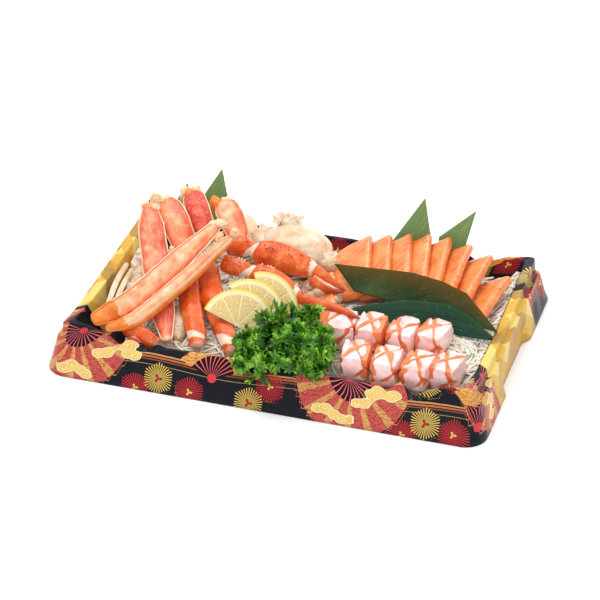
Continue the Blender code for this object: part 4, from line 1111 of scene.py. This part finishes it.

# boiled crab body pulled apart by hand: soft cream meat below thin folded skin, mottled tan and cream,
# moist and deep in the light
cream, cream_shader = surface(
    "crab body meat and skin", Roughness=0.35, Subsurface_Weight=0.3, Subsurface_Scale=0.005,
    Coat_Weight=0.3, Subsurface_Radius=(1, 0.7, 0.45),
)
place = node(cream, "TexCoord", out="Object")
stain = node(cream, "TexNoise", Vector=place, Scale=60, Detail=6, Roughness=0.65)
tone = node(
    cream, "ValToRGB", stain,
    stops=((0.3, "C8986C"), (0.42, "D5B48F"), (0.58, "DFCBAE"), (0.76, "E9DDCB")),
)
folds = node(cream, "TexNoise", Vector=place, Scale=160, Detail=5, Distortion=1.2)
folds = node(cream, "Bump", Strength=0.5, Distance=0.0012, Height=folds)
fill(cream_shader, Base_Color=tone, Normal=folds)

for name, lumps in BODY:
    bm = bmesh.new()
    for k, (centre, size, turn) in enumerate(lumps):
        # the one large lump is smoother and has the finer mesh
        smooth, fineness = (0.1, 6) if size[0] > 30 else (1, 5)
        made = bmesh.ops.create_icosphere(bm, subdivisions=fineness, radius=1)
        around = Matrix.Rotation(math.radians(turn), 3, "Z")
        for vert in made["verts"]:
            point = vert.co.copy()
            where = point * 1.5 + Vector((k * 3, 0, 0))
            crease, ridge = abs(noise.noise(where)), abs(noise.noise(where * 1.3 + Vector((9, 4, 0))))
            swell = 1 + 0.10 * noise.noise(where * 0.8)
            ridged = 0.04 * math.exp(-((ridge / 0.06) ** 2)) - 0.06 * math.exp(-((crease / 0.05) ** 2))
            swell += ridged * smooth
            swell += 0.012 * noise.noise(Vector((point.x * 22, point.y * 3, point.z * 3)))
            point = Vector([point[i] * swell * size[i] for i in range(3)])
            vert.co = around @ point + Vector(centre)
    finished(bm, name + "_meat", cream, "crab_body", name)

# torn skins that stand up where the quarters were pulled apart: middle, facing, size
SKINS = (
    ((-45, 93, 57), (0.1, -0.9, 0.5), 9), ((-36, 93, 56), (0.5, -0.8, 0.4), 8),
    ((-52, 90, 54), (-0.6, -0.7, 0.4), 7), ((-60, 74, 52), (-0.5, -0.6, 0.7), 8),
    ((-64, 66, 48), (-0.3, -0.8, 0.5), 7), ((8, 57, 46), (0.5, -0.6, 0.6), 7),
    ((14, 26, 38), (0.2, -0.7, 0.7), 8), ((4, 22, 38), (-0.3, -0.7, 0.7), 8),
    ((22, 18, 36), (0.5, -0.6, 0.6), 7), ((-148, 24, 40), (-0.4, -0.5, 0.8), 9),
    ((-152, 4, 42), (0.5, -0.4, 0.8), 10), ((-146, -18, 40), (0.3, -0.6, 0.8), 9),
    ((-150, -34, 36), (-0.2, -0.6, 0.8), 8),
)
# the thin wet skin round each part of the meat: nearly white, and half clear at its torn edges
torn_skin, skin_shader = surface(
    "torn crab skin", Roughness=0.35, Subsurface_Weight=0.3, Subsurface_Scale=0.002,
)
place = node(torn_skin, "TexCoord", out="Object")
tone = node(torn_skin, "TexNoise", Vector=place, Scale=120, Detail=4)
tone = node(torn_skin, "ValToRGB", tone, stops=((0.3, "EBCDB0"), (0.5, "F6E6D6"), (0.7, "FDF7F0")))
fill(skin_shader, Base_Color=tone)
bm = marked_mesh()
for number, (middle, facing, size) in enumerate(SKINS):
    made = bmesh.ops.create_grid(bm, x_segments=26, y_segments=14, size=0.5, calc_uvs=True)
    stand = Vector(facing).to_track_quat("Z", "Y").to_matrix()
    for vert in made["verts"]:
        u, v = vert.co.x * 2, vert.co.y + 0.5
        torn = 1 + 0.35 * noise.noise(Vector((u * 3.4, number * 5, 0)))
        torn += 0.12 * noise.noise(Vector((u * 11, number, 0)))
        curl = 0.5 * u * u + 0.35 * v * v + 0.16 * noise.noise(Vector((u * 2, v * 3, number * 3)))
        point = Vector((u * (0.7 + 0.3 * v), (v - 0.35) * torn, curl * 0.6)) * size
        vert.co = Vector(middle) + stand @ point
finished(bm, "crab_body_skins", torn_skin, "crab_body", weld=0.0001, thickness=0.5)

for name, route, widths in STRIPS:
    def strip_shape(u, v):
        """A strip of shell, flat above and hollowed out to a boat's shape below."""
        at = v * (len(widths) - 1)
        k = min(int(at), len(widths) - 2)
        width = widths[k] + (widths[k + 1] - widths[k]) * (at - k)
        cap = rounded_end(v, 0.05)
        centre, side, up = limb_frame(route, v)
        a, b = math.cos(u * math.tau), math.sin(u * math.tau)
        hollow = 0.7 if b < 0 else 0.25
        return centre + (side * width * a + up * width * hollow * b) * cap

    bm = bent_grid(24, 50, strip_shape)
    finished(bm, name + "_skin", cream, "crab_body", name)

# The lemon
# Three half slices of lemon, cut 4 to 5 mm thick: yellow rind, white pith, and clear amber flesh in
# five segments, whose skins and seeds' place show as pale lines that meet at the middle.
LEMON_RADIUS, LEMON_THICKNESS = 33, 4.5
FACE_END, FACE_START = 0.42, 0.58  # shares of a slice's rows where one face ends and the other starts
# Each slice's middle and turn
LEMONS = (((-40.8, -66, 38), -28), ((-34.6, -53, 42), -58), ((-26.4, -41, 44), -79))

# lemon cut with a sharp knife: wet, half clear amber flesh with fine rays, white pith that scatters
# the light, and a thin waxy yellow rind
citrus, citrus_shader = surface(
    "cut lemon", Roughness=0.3, Subsurface_Weight=0.25, Subsurface_Scale=0.004, Coat_Weight=0.3,
    Subsurface_Radius=(1, 0.9, 0.3),
)
marks = node(citrus, "Attribute", attribute_name="slice", out="Vector")
radius, angle, _ = node(citrus, "SeparateXYZ", marks).node.outputs
rays = node(
    citrus, "CombineXYZ", node(citrus, "MULTIPLY", radius, 0.25), node(citrus, "MULTIPLY", angle, 12),
)
sacs = node(citrus, "TexNoise", Vector=rays, Scale=1.6, Detail=4)
tone = node(citrus, "ValToRGB", sacs, stops=((0.3, "CDAA52"), (0.5, "DEC277"), (0.7, "EDDCA2")))
wedge = node(citrus, "PINGPONG", angle, math.pi / 10)
skin = node(citrus, "MULTIPLY", wedge, radius)
skin = node(citrus, "MapRange", skin, 0.75, 0.2, 0, 0.7)
tone = node(citrus, "Mix", skin, tone, "F8F0D0")
for inner, outer, colour in ((2.4, 1.2, "F6EFD2"), (27.6, 28.6, "EFE3B2"), (31.0, 31.8, "D8C434")):
    share = node(citrus, "MapRange", radius, inner, outer)
    tone = node(citrus, "Mix", share, tone, colour)
relief = node(citrus, "Bump", Strength=0.4, Distance=0.0007, Height=sacs)
fill(citrus_shader, Base_Color=tone, Normal=relief)

for number, (centre, turn) in enumerate(LEMONS):
    side = -LOOK.cross(Vector((0, 0, 1))).normalized()
    up = LOOK.cross(side)
    if up.z < 0:
        up.negate()
    spin = Matrix.Rotation(math.radians(turn), 3, LOOK)
    side, up = spin @ side, spin @ up
    bm = marked_mesh("slice")
    bmesh.ops.create_grid(bm, x_segments=60, y_segments=40, size=0.5, calc_uvs=True)
    for vert in bm.verts:
        u, v = vert.co.x + 0.5, vert.co.y + 0.5
        # rows run from the middle of the lower face round the rind to the middle of the upper face
        share = min(1, min(v, 1 - v) / FACE_END)
        level = ease(v, FACE_END, FACE_START) - 0.5
        turn_of = u * math.pi
        radius = LEMON_RADIUS * share * (1 - 0.03 * abs(level * 2) ** 4)
        wedge = abs((turn_of / (math.pi / 5)) % 1 - 0.5) * 2
        plump = 0.5 * (1 - wedge ** 6) * ease(share, 0.08, 0.2) * (1 - ease(share, 0.80, 0.88))
        bend = 0.6 * math.sin(turn_of * 2 + number) * share
        out = level * LEMON_THICKNESS * (1 + plump * 0.25) + bend
        spoke = side * math.cos(turn_of) + up * math.sin(turn_of)
        vert.co = Vector(centre) + spoke * radius + LOOK * out
        vert[bm.verts.layers.float_vector["slice"]] = (radius, turn_of, level)
    bmesh.ops.remove_doubles(bm, verts=bm.verts, dist=0.001)
    bmesh.ops.holes_fill(bm, edges=[e for e in bm.edges if e.is_boundary])
    finished(bm, f"lemon_{number + 1}_slice", citrus, "lemon", f"lemon_{number + 1}")

# The parsley
# A bunch of curly parsley laid over the front edge: stiff thin leaflets, deeply toothed and
# curled, bright green where the light comes through them and dark in between.
PARSLEY_CENTRE, PARSLEY_SIZE = Vector((14, -90, 43)), Vector((39, 30, 17))
PARSLEY_TURN, PARSLEY_DROOP, LEAFLETS = math.radians(14), math.radians(13), 400
GOLDEN_TURN = 2.399963  # spreads the leaflets evenly round the bunch
# the sprigs that stand out of the bunch, and the hollow between them at the front
SPRIGS = (
    (26, -68, 62), (-3, -82, 60), (-22, -94, 40), (-5, -120, 33), (40, -110, 36), (-18, -108, 36),
    (43, -86, 50), (44, -98, 42), (20, -76, 60),
)
HOLLOW = Vector((13, -112, 37))

# fresh curly parsley: crisp thin leaves with a waxy glint, and painted light and shade: yellow green at the
# tips, where the light comes through, and nearly black between them and deep in the bunch
parsley, parsley_shader = surface(
    "curly parsley", Roughness=0.3, Subsurface_Weight=0.15, Subsurface_Scale=0.002,
    Specular_IOR_Level=0.4, Subsurface_Radius=(0.4, 1, 0.2),
)
place = node(parsley, "TexCoord", out="Object")
tone = node(parsley, "TexNoise", Vector=place, Scale=110, Detail=3)
tone = node(parsley, "ValToRGB", tone, stops=((0.34, "2C5C02"), (0.5, "4A8A08"), (0.64, "96CC3A")))
reach = node(parsley, "Attribute", attribute_name="reach", out="Fac")
# painted shade: leaflets deep in the bunch and near their stalks are mixed towards near black
tone = node(parsley, "Mix", reach, "0C2A03", tone)
crisp = node(parsley, "TexNoise", Vector=place, Scale=1200)
crisp = node(parsley, "Bump", Strength=0.3, Distance=0.0004, Height=crisp)
fill(parsley_shader, Base_Color=tone, Normal=crisp)


def leaflet_shape(u, v):
    """A leaflet of three toothed lobes, cupped and ruffled, its stalk at the middle of one side."""
    angle = (u - 0.5) * math.radians(250)
    lobes = 0.5 + 0.5 * abs(math.cos(angle * 1.5)) ** 0.7
    out = v * lobes * (1 + 0.17 * math.sin(angle * 13) * v)
    curl = 0.22 * v * v + 0.16 * v * v * math.cos(angle * 4.5) + 0.05 * v * math.sin(angle * 13)
    return out * math.cos(angle), out * math.sin(angle), curl


leaflet_mesh = small_mesh(bent_grid(40, 3, leaflet_shape), "leaflet")
lie = Matrix.Rotation(PARSLEY_TURN, 3, "Z") @ Matrix.Rotation(-PARSLEY_DROOP, 3, "Y")
bm = bmesh.new()
bm.verts.layers.float.new("reach")
bmesh.ops.create_icosphere(bm, subdivisions=4, radius=1)
for vert in bm.verts:
    point = vert.co * (0.80 + 0.16 * noise.noise(vert.co * 3.1))
    vert.co = lie @ Vector([point[i] * PARSLEY_SIZE[i] for i in range(3)]) + PARSLEY_CENTRE
for k in range(LEAFLETS):
    height = 1 - 1.62 * (k + 0.5) / LEAFLETS
    turn = k * GOLDEN_TURN
    flat = math.sqrt(max(0, 1 - height * height))
    out = Vector((flat * math.cos(turn), flat * math.sin(turn), height))
    depth = draw.uniform(0.68, 1.02)
    foot = lie @ Vector([out[i] * PARSLEY_SIZE[i] * depth for i in range(3)]) + PARSLEY_CENTRE
    if k % 3 == 0:
        sprig = Vector(SPRIGS[k // 3 % len(SPRIGS)])
        foot = sprig + Vector([draw.uniform(-8, 8) for _ in range(3)])
    aim = (lie @ out + Vector([draw.uniform(-0.9, 0.9) for _ in range(3)])).normalized()
    basis = aim.to_track_quat("Z", "Y").to_matrix() @ Matrix.Rotation(draw.uniform(0, math.tau), 3, "Z")
    size = draw.uniform(6.5, 10.5)
    if (foot - HOLLOW).length < 10:
        continue
    for vert in copied_in(leaflet_mesh):
        # painted light and shade: a leaflet's share of lit tone grows towards its tips and the outside of
        # the bunch
        vert[bm.verts.layers.float["reach"]] = min(1, vert.co.length * 0.7 + (depth - 0.72) * 1.6)
        vert.co = foot + basis @ vert.co * size
        vert.co.y = max(vert.co.y, -133)  # none hangs past the tray's front edge
finished(bm, "parsley_bunch", parsley, "parsley", "parsley", weld=0.0001, thickness=0.25)
